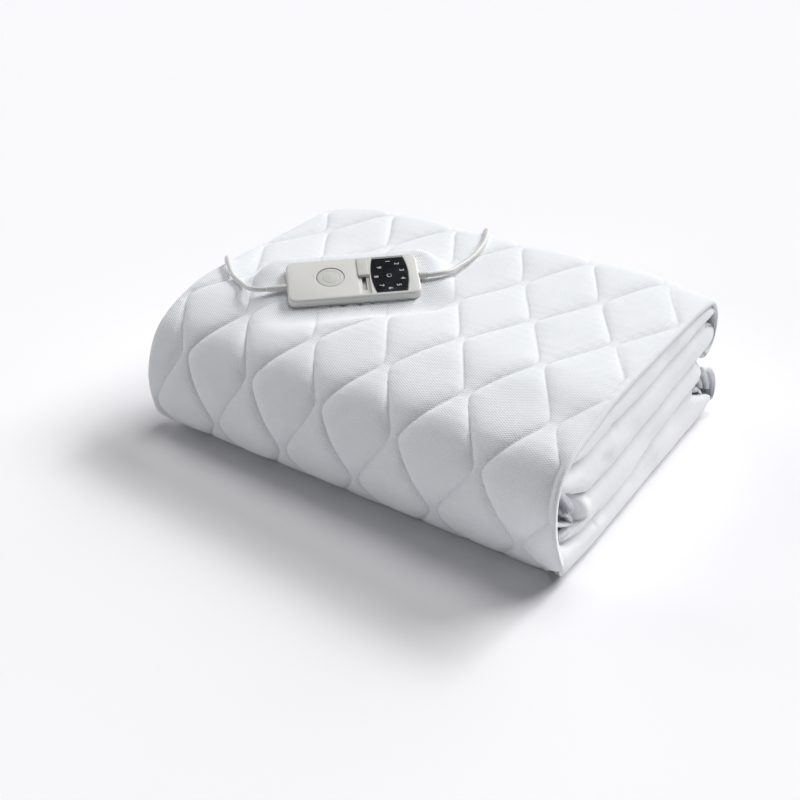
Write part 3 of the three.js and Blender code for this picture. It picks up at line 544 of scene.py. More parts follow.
def seat(x, y):
    """The height of the cloth round the control, and how much the control shapes it at (x, y).

    The cloth comes up to the seam between the control's shells, and dips under the lower shell.
    """
    flat = 11
    fade = 36
    rim = 4
    up = CONTROL_FRAME[:3, 2]
    level = CONTROL["split"] - SEAM_GAP
    foot = CONTROL_FRAME[:3, 3] + up * level
    z = foot[2] - (up[0] * (x - foot[0]) + up[1] * (y - foot[1])) / up[2]
    local = (np.stack([x, y, z], -1) - CONTROL_FRAME[:3, 3]) @ CONTROL_FRAME[:3, :3]
    dx = np.abs(local[..., 0]) - CONTROL["length"] / 2
    dy = np.abs(local[..., 1]) - CONTROL["width"] / 2
    sunk = smooth(-rim, -2 * rim, np.maximum(dx, dy)) * (level + JOIN_GAP) / up[2]
    away = np.hypot(np.maximum(0, dx), np.maximum(0, dy))
    return z - sunk, 1 - smooth(flat, flat + fade, away)


def seat_at(x, s):
    """The same at a place of the wrap: only its top is shaped by the control."""
    y, z = outline(x, s)
    held, weight = seat(x + LEAN * y, y)
    top = (z > TOP_FACE["z"]) & (outward(x, s)[1] > TOP_FACE["up"])
    return np.where(top, held, z), np.where(top, weight, 0)


def wrap_point(x, s, depth):
    """A point of the wrap, set in from its outline by a depth."""
    y, z = outline(x, s)
    ny, nz = outward(x, s)
    held, weight = seat_at(x, s)
    z = mix(z, held, weight)
    return lean(x, y - ny * depth, z - nz * depth)


def half_width(s):
    """Half the wrap's width at arc length s: the floor stops short of the ends."""
    before = 1 - smooth(FLOOR_INSET["from"], FLOOR_INSET["to"], s)
    behind = smooth(FLOOR_BACK - FLOOR_INSET["to"], FLOOR_BACK - FLOOR_INSET["from"], s)
    return WIDTH / 2 - FLOOR_INSET["by"] * before * behind


def line_x(j, s):
    """A quilting line's x at arc length s: straight runs with rounded turns, an arcsine of a cosine."""
    roundness = 0.95
    wave = np.arcsin(roundness * np.cos(math.pi * (s - FIRST_NECK) / HALF_WAVE)) / math.asin(roundness)
    swing = bpy.context.scene.blanket_sizes.line_swing / MM * np.where(np.asarray(j) % 2 == 1, 1, -1)
    ahead = LINE_DRIFT["zero"] - np.clip(s, LINE_DRIFT["from"], LINE_DRIFT["to"])
    share = np.where(ahead > 0, mix(LINE_DRIFT["left"], 1, np.asarray(j) / (LINES - 1)), 1)
    drift = LINE_DRIFT["each"] * ahead * share * smooth(LINE_DRIFT["low"], LINE_DRIFT["from"], s)
    most = half_width(s) - LINE_MARGIN
    return np.clip(FIRST_LINE + LINE_PITCH * np.asarray(j) + swing * wave + drift, -most, most)


def wrap_grid(s):
    """The x of every column at each s, and its distances to the nearest quilting lines.

    Columns follow the lines: one on each line, others between two lines, closer together near
    them (a half cosine), and the rest out to the ends.
    """
    inside = 9
    edge = 7
    crowding = 0.8
    beyond = 400.0
    j = np.arange(LINES)
    lines = line_x(j[None, :], s[:, None])
    slope = (line_x(j[None, :], s[:, None] + 1) - line_x(j[None, :], s[:, None] - 1)) / 2
    square = 1 / np.sqrt(1 + slope**2)
    f = (1 - np.cos(math.pi * np.arange(inside) / inside)) / 2
    a, b = lines[:, :-1, None], lines[:, 1:, None]
    between = (a + (b - a) * f).reshape(len(s), -1)
    out = np.linspace(0, 1, edge + 1)[1:] ** crowding
    half = half_width(s)[:, None]
    left = -half + (lines[:, :1] + half) * (1 - out[::-1])
    right = lines[:, -1:] + (half - lines[:, -1:]) * out
    x = np.concatenate([left, between, lines[:, -1:], right], 1)
    edges = np.concatenate([-half - beyond, lines, half + beyond], 1)
    slant = np.concatenate([square[:, :1], square, square[:, -1:]], 1)
    counts = np.concatenate([[edge], np.full(LINES - 1, inside), [1 + edge]])
    band = np.repeat(np.arange(LINES + 1), counts)
    before = (x - edges[:, band]) * slant[:, band]
    after = (edges[:, band + 1] - x) * slant[:, band + 1]
    gap = np.where((band == 0) | (band == LINES), FULL_PUFF, edges[:, band + 1] - edges[:, band])
    return x, np.maximum(before, 0), np.maximum(after, 0), gap


def stations():
    """Arc lengths of the wrap's rows: a fine step on what shows, and a coarse one on the floor."""
    step = 3.3
    floor_step = 14
    turn = 20
    start, end = END_RIGHT["s"][0], END_RIGHT["s"][-1]
    back = np.linspace(start, FLOOR_BACK + turn, round((FLOOR_BACK + turn - start) / step))
    flat = np.linspace(FLOOR_BACK + turn, -turn, round((-2 * turn - FLOOR_BACK) / floor_step))[1:-1]
    front = np.linspace(-turn, end, round((end + turn) / step))
    return np.concatenate([back, flat, front])


def from_line(distance, soft):
    """How far the cloth has risen at a distance from a line: a steep step, then a slow swell.

    Both are 1 - exp(-d / length), with d rounded off at the line: the root of distance squared
    plus a small valley squared, less the valley.
    """
    rounded = np.hypot(distance, RISE["valley"]) - RISE["valley"]
    step = 1 - np.exp(-rounded / soft)
    swell = 1 - np.exp(-rounded / RISE["swell"])
    return RISE["step_share"] * step + (1 - RISE["step_share"]) * swell


def quilted_sheet():
    """The wrap: the outline set in by the quilting, and its inner face.

    The puff is the product of from_line at the distances to the lines on both sides, so the
    cloth is tight at the stitches and full between them. Puckers run across the stitches and
    die out away from them. The cut edges are rounded along a quarter circle.
    """
    sizes = bpy.context.scene.blanket_sizes
    soft = sizes.puff_softness / MM
    s = stations()
    x, before, after, gap = wrap_grid(s)
    t = np.broadcast_to(s[:, None], x.shape)
    depth = sizes.quilt_depth / MM * mix(1, FLAT_TOP["share"], smooth(FLAT_TOP["from"], FLAT_TOP["to"], t))
    near = np.minimum(before, after)
    rise = np.minimum(1, gap / FULL_PUFF) ** NARROW_POWER
    puff = rise * from_line(before, soft) * from_line(after, soft)
    fade = PUCKER["high"] * np.exp(-near / PUCKER["reach"]) * (1 - np.exp(-near / PUCKER["stitch"]))
    sway = PUCKER["sway"] * ripple(x, t, PUCKER["size"], PUCKER["seed"])
    pucker = fade * np.sin(t / PUCKER["wave"] + sway)
    uneven = sum(row["high"] * ripple(x, t, row["size"], row["seed"]) for row in UNEVEN)
    quilted = np.where(t > 0, smooth(0, FLOOR_FADE, t), smooth(FLOOR_BACK, FLOOR_BACK - FLOOR_FADE, t))
    calm = 1 - seat_at(x, t)[1]
    sunk = np.maximum(-MOST_PROUD, depth * (1 - puff) - pucker - uneven * puff)
    from_end = half_width(t) - np.abs(x)
    lip = sizes.edge_round / MM
    turned_in = lip * (1 - np.sqrt(np.maximum(0, 1 - np.clip(1 - from_end / lip, 0, 1) ** 2)))
    held = HELD_SHARE + (1 - HELD_SHARE) * calm
    outer = wrap_point(x, t, sunk * quilted * held + turned_in * EDGE_TURN)
    thick = mix(EDGE_SHEET["thickness"], SHEET, smooth(EDGE_SHEET["from"], EDGE_SHEET["to"], from_end))
    inner = wrap_point(x, t, thick)
    near = np.where(quilted > 0.5, near, NO_SEAM)
    return outer, inner, x, t, near


def pack_ring():
    """One pack's layers as a closed ring in (f, level), running back and forth like a ribbon.

    f is 0 at the front fold ends and 1 at the back, and the level counts layers upwards. The
    ribbon's two faces stay half a fill from its middle line and turn round each fold.
    """
    run = 14
    turn = 8
    bulge = 0.035
    past = 1.05
    half = LAYER_FILL / 2
    wide, tight = 0.5 + half, 0.5 - half
    left, right = [], []
    for k in range(INNER_LAYERS):
        forward = k % 2 == 0
        to = 0 if forward else 1
        f = np.linspace(past if k == 0 else 1 - to, to, run + 1)
        below = half if forward else -half
        left.append(np.stack([f, np.full_like(f, k - below)], -1))
        right.append(np.stack([f, np.full_like(f, k + below)], -1))
        if k < INNER_LAYERS - 1:
            a = math.pi * (np.arange(1, turn) / turn - 0.5)
            side = -1 if forward else 1
            radii = (wide, tight) if forward else (tight, wide)
            for rows, r in zip((left, right), radii):
                rows.append(np.stack([to + side * bulge * r * np.cos(a), k + 0.5 + r * np.sin(a)], -1))
    return np.concatenate([np.concatenate(left), np.concatenate(right)[::-1]])


def level(column, y, t):
    """A height of LEVELS at a depth, between its left and right ends."""
    return mix(read(LEVELS, column + "L", y), read(LEVELS, column + "R", y), t)


def pack_point(x, f, v, upper):
    """A pack's place for (f, level): between the parting and the wrap, settled in a few rounds."""
    clear = 1.6
    part_gap = 2.6
    guess = 110.0 if upper else 40.0
    rounds = 3
    t = np.clip(x / WIDTH + 0.5, 0, 1)
    z = np.full(np.broadcast(x, f).shape, guess)
    for _ in range(rounds):
        y = mix(read(FOLD_ENDS, "front", z, "z"), read(FOLD_ENDS, "back", z, "z"), f)
        part = level("part", y, t)
        low = part + part_gap if upper else SHEET + clear
        high = level("top", y, t) - SHEET - clear if upper else part
        share = (v + LAYER_FILL / 2) / (INNER_LAYERS - 1 + LAYER_FILL)
        z = mix(low, high, share) if upper else mix(high, low, share)
    return lean(x, y, z)


def pack(upper):
    """One pack of folded layers from end to end, its ring carried along the bundle's width."""
    end_in = 26
    sections = 15
    ring = pack_ring()
    x = np.linspace(-WIDTH / 2 + end_in, WIDTH / 2 - end_in, sections)
    return prism(pack_point(x[:, None], ring[None, :, 0], ring[None, :, 1], upper))


def lips():
    """The cloth ends in the hollows: each section thickened and carried in from the end.

    The sheet is thinner at its outer edge, where it is rounded along a quarter circle over the
    first rows, and it waves in and out along x.
    """
    first = 1 - np.arange(LIP["rows"]) / LIP["rounded"]
    bend = 1 - np.sqrt(np.clip(1 - first.clip(0, 1) ** 2, 0, 1))
    half = LIP["sheet"] / 2 * (1 - LIP["thinner"] * bend)[:, None, None]
    made = []
    for row in LIPS:
        path = evenly(through(row["path"], 8), LIP["step"])
        step = np.gradient(path, axis=0)
        normal = np.stack([step[:, 1], -step[:, 0]], -1) / np.linalg.norm(step, axis=1)[:, None]
        x = WIDTH / 2 - np.linspace(row["in"], row["in"] + LIP["long"], LIP["rows"])
        wave = LIP_WAVE["high"] * np.sin(x / LIP_WAVE["length"])[:, None, None]
        faces = [path[None] + normal[None] * (side * half + wave) for side in (1, -1)]
        outer, inner = (lean(x[:, None], g[..., 0], g[..., 1]) for g in faces)
        made.append(shell(outer, inner))
    return made


def round_end(gap):
    """1 at a skirt's front or back end and 0 past its curl, along a quarter circle."""
    return 1 - np.sqrt(np.maximum(0, 1 - (1 - np.clip(gap / SKIRT["curl"], 0, 1)) ** 2))


def skirt_bands(side, tucks, seam, seed):
    """The skirt's y by row, and each point's depth and height, its bands one below the other.

    A band's section is a half round with a flattened top: its depth is the tuck's depth times
    1 - cos(a) to a power, with a from the band's upper to its lower edge.
    """
    y = np.linspace(SKIRT["front"], SKIRT["back"], SKIRT_STEPS["depth"])
    top = read(LEVELS, "topR" if side > 0 else "topL", y) - seam
    foot = np.full_like(y, SKIRT_LOW["z"])
    marks = np.stack([top, *(read(tucks, k, y) for k in ("one", "two", "three")), foot], -1)
    swayed = ripple(y[:, None], np.arange(3) * TUCK_SWAY["apart"], TUCK_SWAY["size"], seed)
    marks[:, 1:4] += TUCK_SWAY["high"] * swayed
    bent = (round_end(y - SKIRT["front"]), round_end(SKIRT["back"] - y))
    a = math.pi * (0.5 - np.arange(SKIRT_STEPS["band"] + 1) / SKIRT_STEPS["band"])
    depths, heights = [], []
    for band in range(marks.shape[1] - 1):
        middle = (marks[:, band] + marks[:, band + 1]) / 2
        half = (marks[:, band] - marks[:, band + 1]) / 2
        angle = a if band == 0 else a[1:]
        full = np.maximum(0, np.cos(angle)) ** SKIRT["flat"]
        z = middle[:, None] + half[:, None] * np.sin(angle)
        curl = [SKIRT["inward"]] * 2
        if side > 0:
            curl = [read(rows, "curl", z, "z") for rows in (FRONT_ENDS, BACK_ENDS)]
        inward = curl[0] * bent[0][:, None] + curl[1] * bent[1][:, None]
        depths.append(SKIRT["tuck"] * (1 - full[None, :] * (1 - inward)))
        heights.append(z)
    return y, np.concatenate(depths, 1), np.concatenate(heights, 1)


def creased(depth, place, z, soft, creases):
    """The depth with each crease added: a bell across its line that fades towards both its ends."""
    for crease in creases:
        (y0, z0), (y1, z1) = crease["from"], crease["to"]
        run = np.hypot(y1 - y0, z1 - z0)
        along = ((place - y0) * (y1 - y0) + (z - z0) * (z1 - z0)) / run**2
        off = ((place - y0) * (z1 - z0) - (z - z0) * (y1 - y0)) / run
        ends = np.clip(1 - (2 * along - 1) ** 2, 0, 1)
        depth = depth + crease["deep"] * soft * ends * np.exp(-((off / crease["wide"]) ** 2))
    return depth


def skirt(side, tucks, creases, seam, seed):
    """One end's skirt: padded bands with tucks between them, and creases laid one by one.

    The right one's bands are drawn out or in at the front and back to the places in FRONT_ENDS
    and BACK_ENDS. The left one's lowest band starts a little ahead.
    """
    shallowest = 0.2
    y, depth, z = skirt_bands(side, tucks, seam, seed)
    if side > 0:
        front = smooth(SKIRT_DRAWN["front"], SKIRT["front"], y)[:, None]
        back = smooth(SKIRT_DRAWN["back"], SKIRT["back"], y)[:, None]
        front = (read(FRONT_ENDS, "y", z, "z") - SKIRT["front"]) * front
        back = (read(BACK_ENDS, "y", z, "z") - SKIRT["back"]) * back
        place = y[:, None] + front + back
    else:
        lowest = np.arange(z.shape[1]) > 3 * SKIRT_STEPS["band"]
        place = y[:, None] - SKIRT_LOW["ahead"] * np.linspace(1, 0, len(y))[:, None] * lowest
    soft = 1 - depth / SKIRT["tuck"]
    depth = creased(depth, place, z, soft, creases)
    waves = (row["high"] * ripple(place, row["up"] * z, row["size"], seed + k + 1)
             for k, row in enumerate(SKIRT_WAVES))
    depth = np.maximum(depth + soft * sum(waves), shallowest)
    outer = lean(side * (WIDTH / 2 - depth), place, z)
    dz = np.gradient(z, axis=1)
    dd = np.gradient(depth, axis=1)
    size = np.maximum(np.hypot(dz, dd), 1e-6)
    inner_depth = depth - dz / size * SKIRT["sheet"]
    inner_z = z + dd / size * SKIRT["sheet"]
    inner = lean(side * (WIDTH / 2 - inner_depth), place, inner_z)
    return outer, inner, place, np.cumsum(size, 1)


class Value:
    """A shader socket that works in expressions: each sum or product adds its Math node."""

    def __init__(self, finish, socket):
        self.finish = finish
        self.socket = socket

    def _math(self, operation, first, second=None):
        sockets = {0: first} if second is None else {0: first, 1: second}
        return self.finish.value("ShaderNodeMath", {"operation": operation}, sockets)

    def __add__(self, other):
        return self._math("ADD", self, other)

    def __radd__(self, other):
        return self._math("ADD", other, self)

    def __sub__(self, other):
        return self._math("SUBTRACT", self, other)

    def __rsub__(self, other):
        return self._math("SUBTRACT", other, self)

    def __mul__(self, other):
        return self._math("MULTIPLY", self, other)

    def __rmul__(self, other):
        return self._math("MULTIPLY", other, self)

    def __truediv__(self, other):
        return self._math("DIVIDE", self, other)

    def __pow__(self, other):
        return self._math("POWER", self, other)

    def cos(self):
        return self._math("COSINE", self)

    def exp(self):
        return self._math("EXPONENT", self)

    def above(self, limit):
        """1 over the limit and 0 under it."""
        return self._math("GREATER_THAN", self, limit)


class Finish:
    """A surface's material, with one method that adds any node."""

    def __init__(self, name, roughness, **constants):
        self.material = bpy.data.materials.new(name)
        self.material.use_nodes = True
        self.tree = self.material.node_tree
        self.tree.nodes.clear()
        self.surface = self.node("ShaderNodeBsdfPrincipled", {}, {"Roughness": roughness, **constants})
        self.node("ShaderNodeOutputMaterial", {}, {"Surface": Value(self, self.surface.outputs[0])})

    def node(self, kind, settings, sockets):
        """Adds a node: its settings are set first, then its sockets' values or links."""
        made = self.tree.nodes.new(kind)
        for key, setting in settings.items():
            setattr(made, key, setting)
        for key, wanted in sockets.items():
            self.put(made.inputs[key], wanted)
        return made

    def value(self, kind, settings, sockets, output=0):
        """Adds a node and returns one of its outputs."""
        return Value(self, self.node(kind, settings, sockets).outputs[output])

    def put(self, socket, wanted):
        """Links a value to a socket, or sets the socket to a number or colour."""
        if isinstance(wanted, Value):
            self.tree.links.new(wanted.socket, socket)
        else:
            socket.default_value = wanted

    def set(self, name, wanted):
        """Gives one of the surface's own sockets its value."""
        self.put(self.surface.inputs[name], wanted)

    def place(self):
        """Object coordinates, in metres."""
        return self.value("ShaderNodeTexCoord", {}, {}, "Object")

    def noise(self, size, detail=3.0):
        """Cloudy noise between 0 and 1 whose blobs are about this many millimetres across."""
        sockets = {"Vector": self.place(), "Scale": 1 / (size * MM), "Detail": detail, "Roughness": 0.55}
        return self.value("ShaderNodeTexNoise", {}, sockets, "Fac")

    def blend(self, factor, one, other):
        """Colours mixed by a factor."""
        sockets = {0: factor, 6: (*one, 1), 7: (*other, 1)}
        return self.value("ShaderNodeMix", {"data_type": "RGBA"}, sockets, 2)

    def bump(self, height, distance, strength):
        """A bump whose height of 1 stands this many millimetres proud."""
        sockets = {"Height": height, "Distance": distance * MM, "Strength": strength}
        return self.value("ShaderNodeBump", {}, sockets)

    def cloth_map(self):
        """The cloth's own map in metres, as its two parts."""
        both = self.value("ShaderNodeUVMap", {"uv_map": "cloth"}, {})
        parts = self.node("ShaderNodeSeparateXYZ", {}, {0: both})
        return Value(self, parts.outputs[0]), Value(self, parts.outputs[1])

    def field(self, name):
        """A number that the mesh carries at its points."""
        return self.value("ShaderNodeAttribute", {"attribute_name": name}, {}, "Fac")


def honeycomb(u, v, pitch):
    """Round dots in a close-packed pattern, between 0 and 1.

    It is the sum of three cosines whose directions are 60 degrees apart, divided by 4.5, plus 1/3.
    """
    k = 2 * math.pi / (pitch * MM * math.sqrt(3) / 2)
    one = (u * k).cos()
    two = (u * (k / 2) + v * (k * math.sqrt(3) / 2)).cos()
    three = (u * (k / 2) - v * (k * math.sqrt(3) / 2)).cos()
    return (one + two + three) / 4.5 + 1 / 3


# The stitched line's groove and thread by half width, its stitches' pitch, and where their gaps fall
STITCHING = {"groove": 1.3, "thread": 0.45, "pitch": 3.2, "gap": -0.45}
# How much each part of the two cloths' finish darkens them, as painted shade in the pits and the groove and
# as a random tone in the cloud, and how far it stands proud or lies deep
QUILTED_SHADE = {"pits": 0.25, "groove": 0.18, "cloud": 0.15}
QUILTED_RELIEF = {"dots": 0.45, "fine": 0.1, "groove": 0.3, "stitch": 0.2}
LOOP_PITCH = 1.1
SKIRT_SHADE = {"pits": 0.2, "cloud": 0.3}
SKIRT_RELIEF = {"loops": 0.1, "cloud": 0.35}
NICKEL = {"pale": (0.78, 0.77, 0.75), "dark": (0.66, 0.65, 0.64)}


def quilted_finish():
    """White quilted knit: small dots in a honeycomb, painted shade in the pits between them, and a stitched
    groove with painted shade along it.
    """
    colours = bpy.context.scene.blanket_colours
    sizes = bpy.context.scene.blanket_sizes
    finish = Finish("quilted knit", 0.95, **{"Sheen Weight": 0.25, "Sheen Roughness": 0.5})
    u, v = finish.cloth_map()
    dots = honeycomb(u, v, sizes.knit_pitch / MM)
    line = finish.field("seam_distance")
    groove = (0 - (line / STITCHING["groove"]) ** 2).exp()
    thread = (0 - (line / STITCHING["thread"]) ** 2).exp()
    stitch = (v * (2 * math.pi / (STITCHING["pitch"] * MM))).cos().above(STITCHING["gap"]) * thread
    cloud = QUILTED_SHADE["cloud"] * (finish.noise(60) - 0.5)
    # Painted shade: the pits between the dots and the groove, though not its thread, are blended towards the
    # shade colour; the cloud is a random tone.
    shade = QUILTED_SHADE["pits"] * (1 - dots) + QUILTED_SHADE["groove"] * groove * (1 - stitch) + cloud
    finish.set("Base Color", finish.blend(shade, colours.cloth, colours.cloth_painted_shade))
    raised = dots * QUILTED_RELIEF["dots"] + finish.noise(0.7, 2.0) * QUILTED_RELIEF["fine"]
    height = raised - groove * QUILTED_RELIEF["groove"] + stitch * QUILTED_RELIEF["stitch"]
    finish.set("Normal", finish.bump(height, 1.0, 0.9))
    return finish.material


def skirt_finish():
    """Smooth white stretch knit: a very fine knit with painted shade in its pits, and a faint cloudiness."""
    colours = bpy.context.scene.blanket_colours
    finish = Finish("smooth knit", 0.9, **{"Sheen Weight": 0.2, "Sheen Roughness": 0.5})
    u, v = finish.cloth_map()
    loops = honeycomb(u, v, LOOP_PITCH)
    cloud = finish.noise(45)
    # Painted shade in the knit's pits, and a random cloudy tone.
    shade = SKIRT_SHADE["pits"] * (1 - loops) + SKIRT_SHADE["cloud"] * (cloud - 0.5)
    finish.set("Base Color", finish.blend(shade, colours.skirt, colours.cloth_painted_shade))
    height = loops * SKIRT_RELIEF["loops"] + finish.noise(7, 3.0) * SKIRT_RELIEF["cloud"]
    finish.set("Normal", finish.bump(height, 1.0, 0.7))
    return finish.material


def plastic_finish(name, colour, roughness, grain=0.02):
    """Moulded plastic: a fine spark-eroded grain, soft cloudiness and slightly uneven gloss."""
    finish = Finish(name, roughness, **{"Specular IOR Level": 0.45})
    cloud = finish.noise(14, 4.0)
    fine = finish.noise(0.5, 2.0)
    darker = tuple(c * 0.93 for c in colour)
    finish.set("Base Color", finish.blend(cloud * 0.6 + fine * 0.2, colour, darker))
    finish.set("Roughness", roughness - 0.05 + cloud * 0.1)
    finish.set("Normal", finish.bump(fine, grain, 0.6))
    return finish.material


def window_finish():
    """Black gloss with faint smears, and a painted highlight along its bevelled back edge."""
    colours = bpy.context.scene.blanket_colours
    sizes = bpy.context.scene.blanket_sizes
    finish = Finish("dark window", 0.12, **{"Coat Weight": 0.4})
    cloud = finish.noise(9, 3.0)
    # Painted highlight: the band along the bevelled back edge is blended to a pale grey.
    edge = 1 - finish.field("to_back_edge").above(sizes.window_bevel / MM)
    finish.set("Base Color", finish.blend(edge, colours.window, colours.window_edge_highlight))
    finish.set("Roughness", 0.1 + cloud * 0.12 + edge * 0.3)
    return finish.material


def metal_finish():
    """Bright nickel, faintly cloudy."""
    finish = Finish("nickel", 0.22, **{"Metallic": 1.0})
    cloud = finish.noise(2.5, 4.0)
    finish.set("Base Color", finish.blend(cloud, NICKEL["pale"], NICKEL["dark"]))
    finish.set("Roughness", 0.16 + cloud * 0.15)
    return finish.material


def lead_finish():
    """Off-white flex: a smooth sheath with a faint grain."""
    colours = bpy.context.scene.blanket_colours
    return plastic_finish("flex sheath", colours.lead, 0.42, 0.03)


def centripetal(points, per):
    """A centripetal Catmull-Rom curve, by Barry and Goldman's pyramid of blends."""
    p = np.asarray(points, float)
    p = np.vstack([2 * p[0] - p[1], p, 2 * p[-1] - p[-2]])
    knots = np.concatenate([[0], np.cumsum(np.linalg.norm(np.diff(p, axis=0), axis=1) ** 0.5)])
    q = [p[k : len(p) - 3 + k, None, :] for k in range(4)]
    t = [knots[k : len(p) - 3 + k, None, None] for k in range(4)]
    at = t[1] + (t[2] - t[1]) * (np.arange(per) / per)[None, :, None]

    def blend(a, b, ta, tb):
        """a at the knot ta and b at the knot tb, straight between them."""
        return (a * (tb - at) + b * (at - ta)) / (tb - ta)

    one = [blend(q[k], q[k + 1], t[k], t[k + 1]) for k in range(3)]
    two = [blend(one[k], one[k + 1], t[k], t[k + 2]) for k in range(2)]
    curve = blend(two[0], two[1], t[1], t[2])
    return np.vstack([curve.reshape(-1, 3), p[-2]])


def relief_point(side, size, distance):
    """A point in front of a strain relief, at a distance from its tip."""
    x = side * (CONTROL["length"] / 2 + SEAM_GAP + size["length"] + distance)
    return on_control([x, size["y"], size["z"]])


def coil_turns():
    """The coil: two turns to a layer, stepping in or out and then up, anticlockwise from above.

    Radius and height stay the same for most of a turn, and then lead over to the next one's.
    """
    steps = 24
    kept = 0.8
    lane_out = COIL["outer"] - CORD["radius"]
    lane_in = COIL["inner"] + CORD["radius"]
    rise = (COIL["high"] - COIL["low"] - 2 * CORD["radius"]) / (COIL_LAYERS - 1)
    lanes = (lane_out, lane_in)
    radius = [r for layer in range(COIL_LAYERS) for r in (lanes if layer % 2 == 0 else lanes[::-1])]
    layers = np.repeat(np.arange(COIL_LAYERS), 2)
    turn = np.arange(len(radius) * steps + 1) / steps
    places = [k + e for k in range(len(radius)) for e in (0.0, kept)]
    r = np.interp(turn, places, np.repeat(radius, 2))
    z = COIL["low"] + CORD["radius"] + rise * np.interp(turn, places, np.repeat(layers, 2))
    angle = 2 * math.pi * turn
    return np.stack([COIL["x"] + r * np.cos(angle), COIL["y"] + r * np.sin(angle), z], -1)


def cord_curve(name, path, finish):
    """A round cord as one open spline through the path."""
    curve = bpy.data.curves.new(name, "CURVE")
    curve.dimensions = "3D"
    spline = curve.splines.new("POLY")
    spline.points.add(len(path) - 1)
    spline.points.foreach_set("co", np.concatenate([path * MM, np.ones((len(path), 1))], 1).ravel())
    curve.bevel_depth = CORD["radius"] * MM
    curve.bevel_resolution = 4
    curve.use_fill_caps = True
    made = add(name, curve)
    curve.materials.append(finish)
    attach(made, "blanket")
    return made


def turned(profile, sides=40):
    """A closed solid of revolution about Z from (radius, height) rows, its poles closed."""
    r, z = np.asarray(profile, float).T
    r = np.maximum(r, POINT)
    a = 2 * math.pi * np.arange(sides) / sides
    rings = np.stack(np.broadcast_arrays(r[:, None] * np.cos(a), r[:, None] * np.sin(a), z[:, None]), -1)
    return facing_out(rings.reshape(-1, 3), ring_quads(len(r), sides))


def loft(sections):
    """A closed solid through rounded-rectangle sections along Y.

    Each row has y, half width, half height, the middle's height and the squareness p: a section
    is the superellipse |x/w|^p + |z/h|^p = 1. The end rings shrink to a point.
    """
    rows = np.asarray(sections, float)
    sides = 48
    a = 2 * math.pi * (np.arange(sides) + 0.5) / sides
    y, w, h, middle, p = (rows[:, k, None] for k in range(5))
    x = w * squared(np.cos(a), p)
    z = middle + h * squared(np.sin(a), p)
    rings = np.stack([x, np.broadcast_to(y, x.shape), z], -1)
    return facing_out(rings.reshape(-1, 3), ring_quads(len(rows), sides))


def rounded_block(half_x, half_y, rows, squareness):
    """A block with rounded corners, standing at x and y 0, from rows of height and inset."""
    stack = [(z, half_x - inset, half_y - inset, 0, squareness) for z, inset in rows]
    ends = [(rows[k][0], POINT, POINT, 0, squareness) for k in (0, -1)]
    points, quads = loft([ends[0], *stack, ends[1]])
    return points[:, [0, 2, 1]], quads


def softened(node, name, finish, width):
    """A finer copy of a CAD node: merged, its flat faces joined, and its edges rounded."""
    flat = math.radians(0.5)
    edge = math.radians(40)
    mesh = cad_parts[node].data.copy()
    mesh.name = name
    work = bmesh.new()
    work.from_mesh(mesh)
    bmesh.ops.remove_doubles(work, verts=work.verts, dist=1e-6)
    bmesh.ops.dissolve_limit(work, angle_limit=flat, verts=work.verts, edges=work.edges)
    work.to_mesh(mesh)
    work.free()
    mesh.materials.clear()
    mesh.materials.append(finish)
    made = add(name, mesh)
    mesh.shade_smooth()
    bevel = made.modifiers.new("edges", "BEVEL")
    bevel.width = width * MM
    bevel.segments = 2
    bevel.limit_method = "ANGLE"
    bevel.angle_limit = edge
    bevel.harden_normals = True
    mesh.set_sharp_from_angle(angle=edge)
    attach(made, "blanket")
    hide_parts(node)
    return made


def length(name, description, default):
    """A length for the panel, its default given in millimetres."""
    return bpy.props.FloatProperty(name=name, description=description, default=default * MM, unit="LENGTH")


def colour(name, description, default):
    """A colour for the panel."""
    return bpy.props.FloatVectorProperty(
        name=name, description=description, default=default, subtype="COLOR", size=3, min=0, max=1
    )


class BlanketSizes(bpy.types.PropertyGroup):
    line_swing: length("Line swing", "How far a quilting line swings to each side", 17.5)
    quilt_depth: length("Quilting depth", "How deep the stitched lines lie under the puffs", 4.4)
    puff_softness: length("Puff softness", "How far from a line the cloth takes to rise", 1.9)
    edge_round: length("Edge rounding", "How far in from its cut edge the sheet is rounded", 5)
    knit_pitch: length("Knit pitch", "Distance between the knit's dots", 2.4)
    # The bevel's width is also the width of the window's painted highlight.
    window_bevel: length("Window bevel", "Width of the window's pale back edge", 2.6)
    mains_length: length("Mains lead", "Length of the lead from the control to its plug", 1840)
    blanket_length: length("Blanket lead", "Length of the lead from the control to the blanket", 590)


class BlanketColours(bpy.types.PropertyGroup):
    cloth: colour("Cloth", "The quilted cloth", (0.925, 0.95, 0.985))
    # Painted shade for the knit's pits and the stitched grooves
    cloth_painted_shade: colour("Cloth pits", "The cloth between its dots and in its seams", (0.66, 0.68, 0.72))
    skirt: colour("Skirt", "The smooth cloth at the ends", (0.95, 0.965, 0.99))
    case: colour("Case", "The control's shells and the plug", (0.79, 0.785, 0.76))
    keys: colour("Keys", "The push button and the slide switch", (0.7, 0.695, 0.67))
    lead: colour("Lead", "The leads' sheath", (0.74, 0.74, 0.72))
    window: colour("Window", "The dark window", (0.006, 0.007, 0.011))
    # A pale grey painted as a highlight on the window's bevelled back edge
    window_edge_highlight: colour("Window edge", "The window's bevelled back edge", (0.32, 0.33, 0.34))
    numbers: colour("Numbers", "The numbers in the window", (0.8, 0.82, 0.84))
    floor: colour("Floor", "The pale floor", (0.9, 0.893, 0.916))


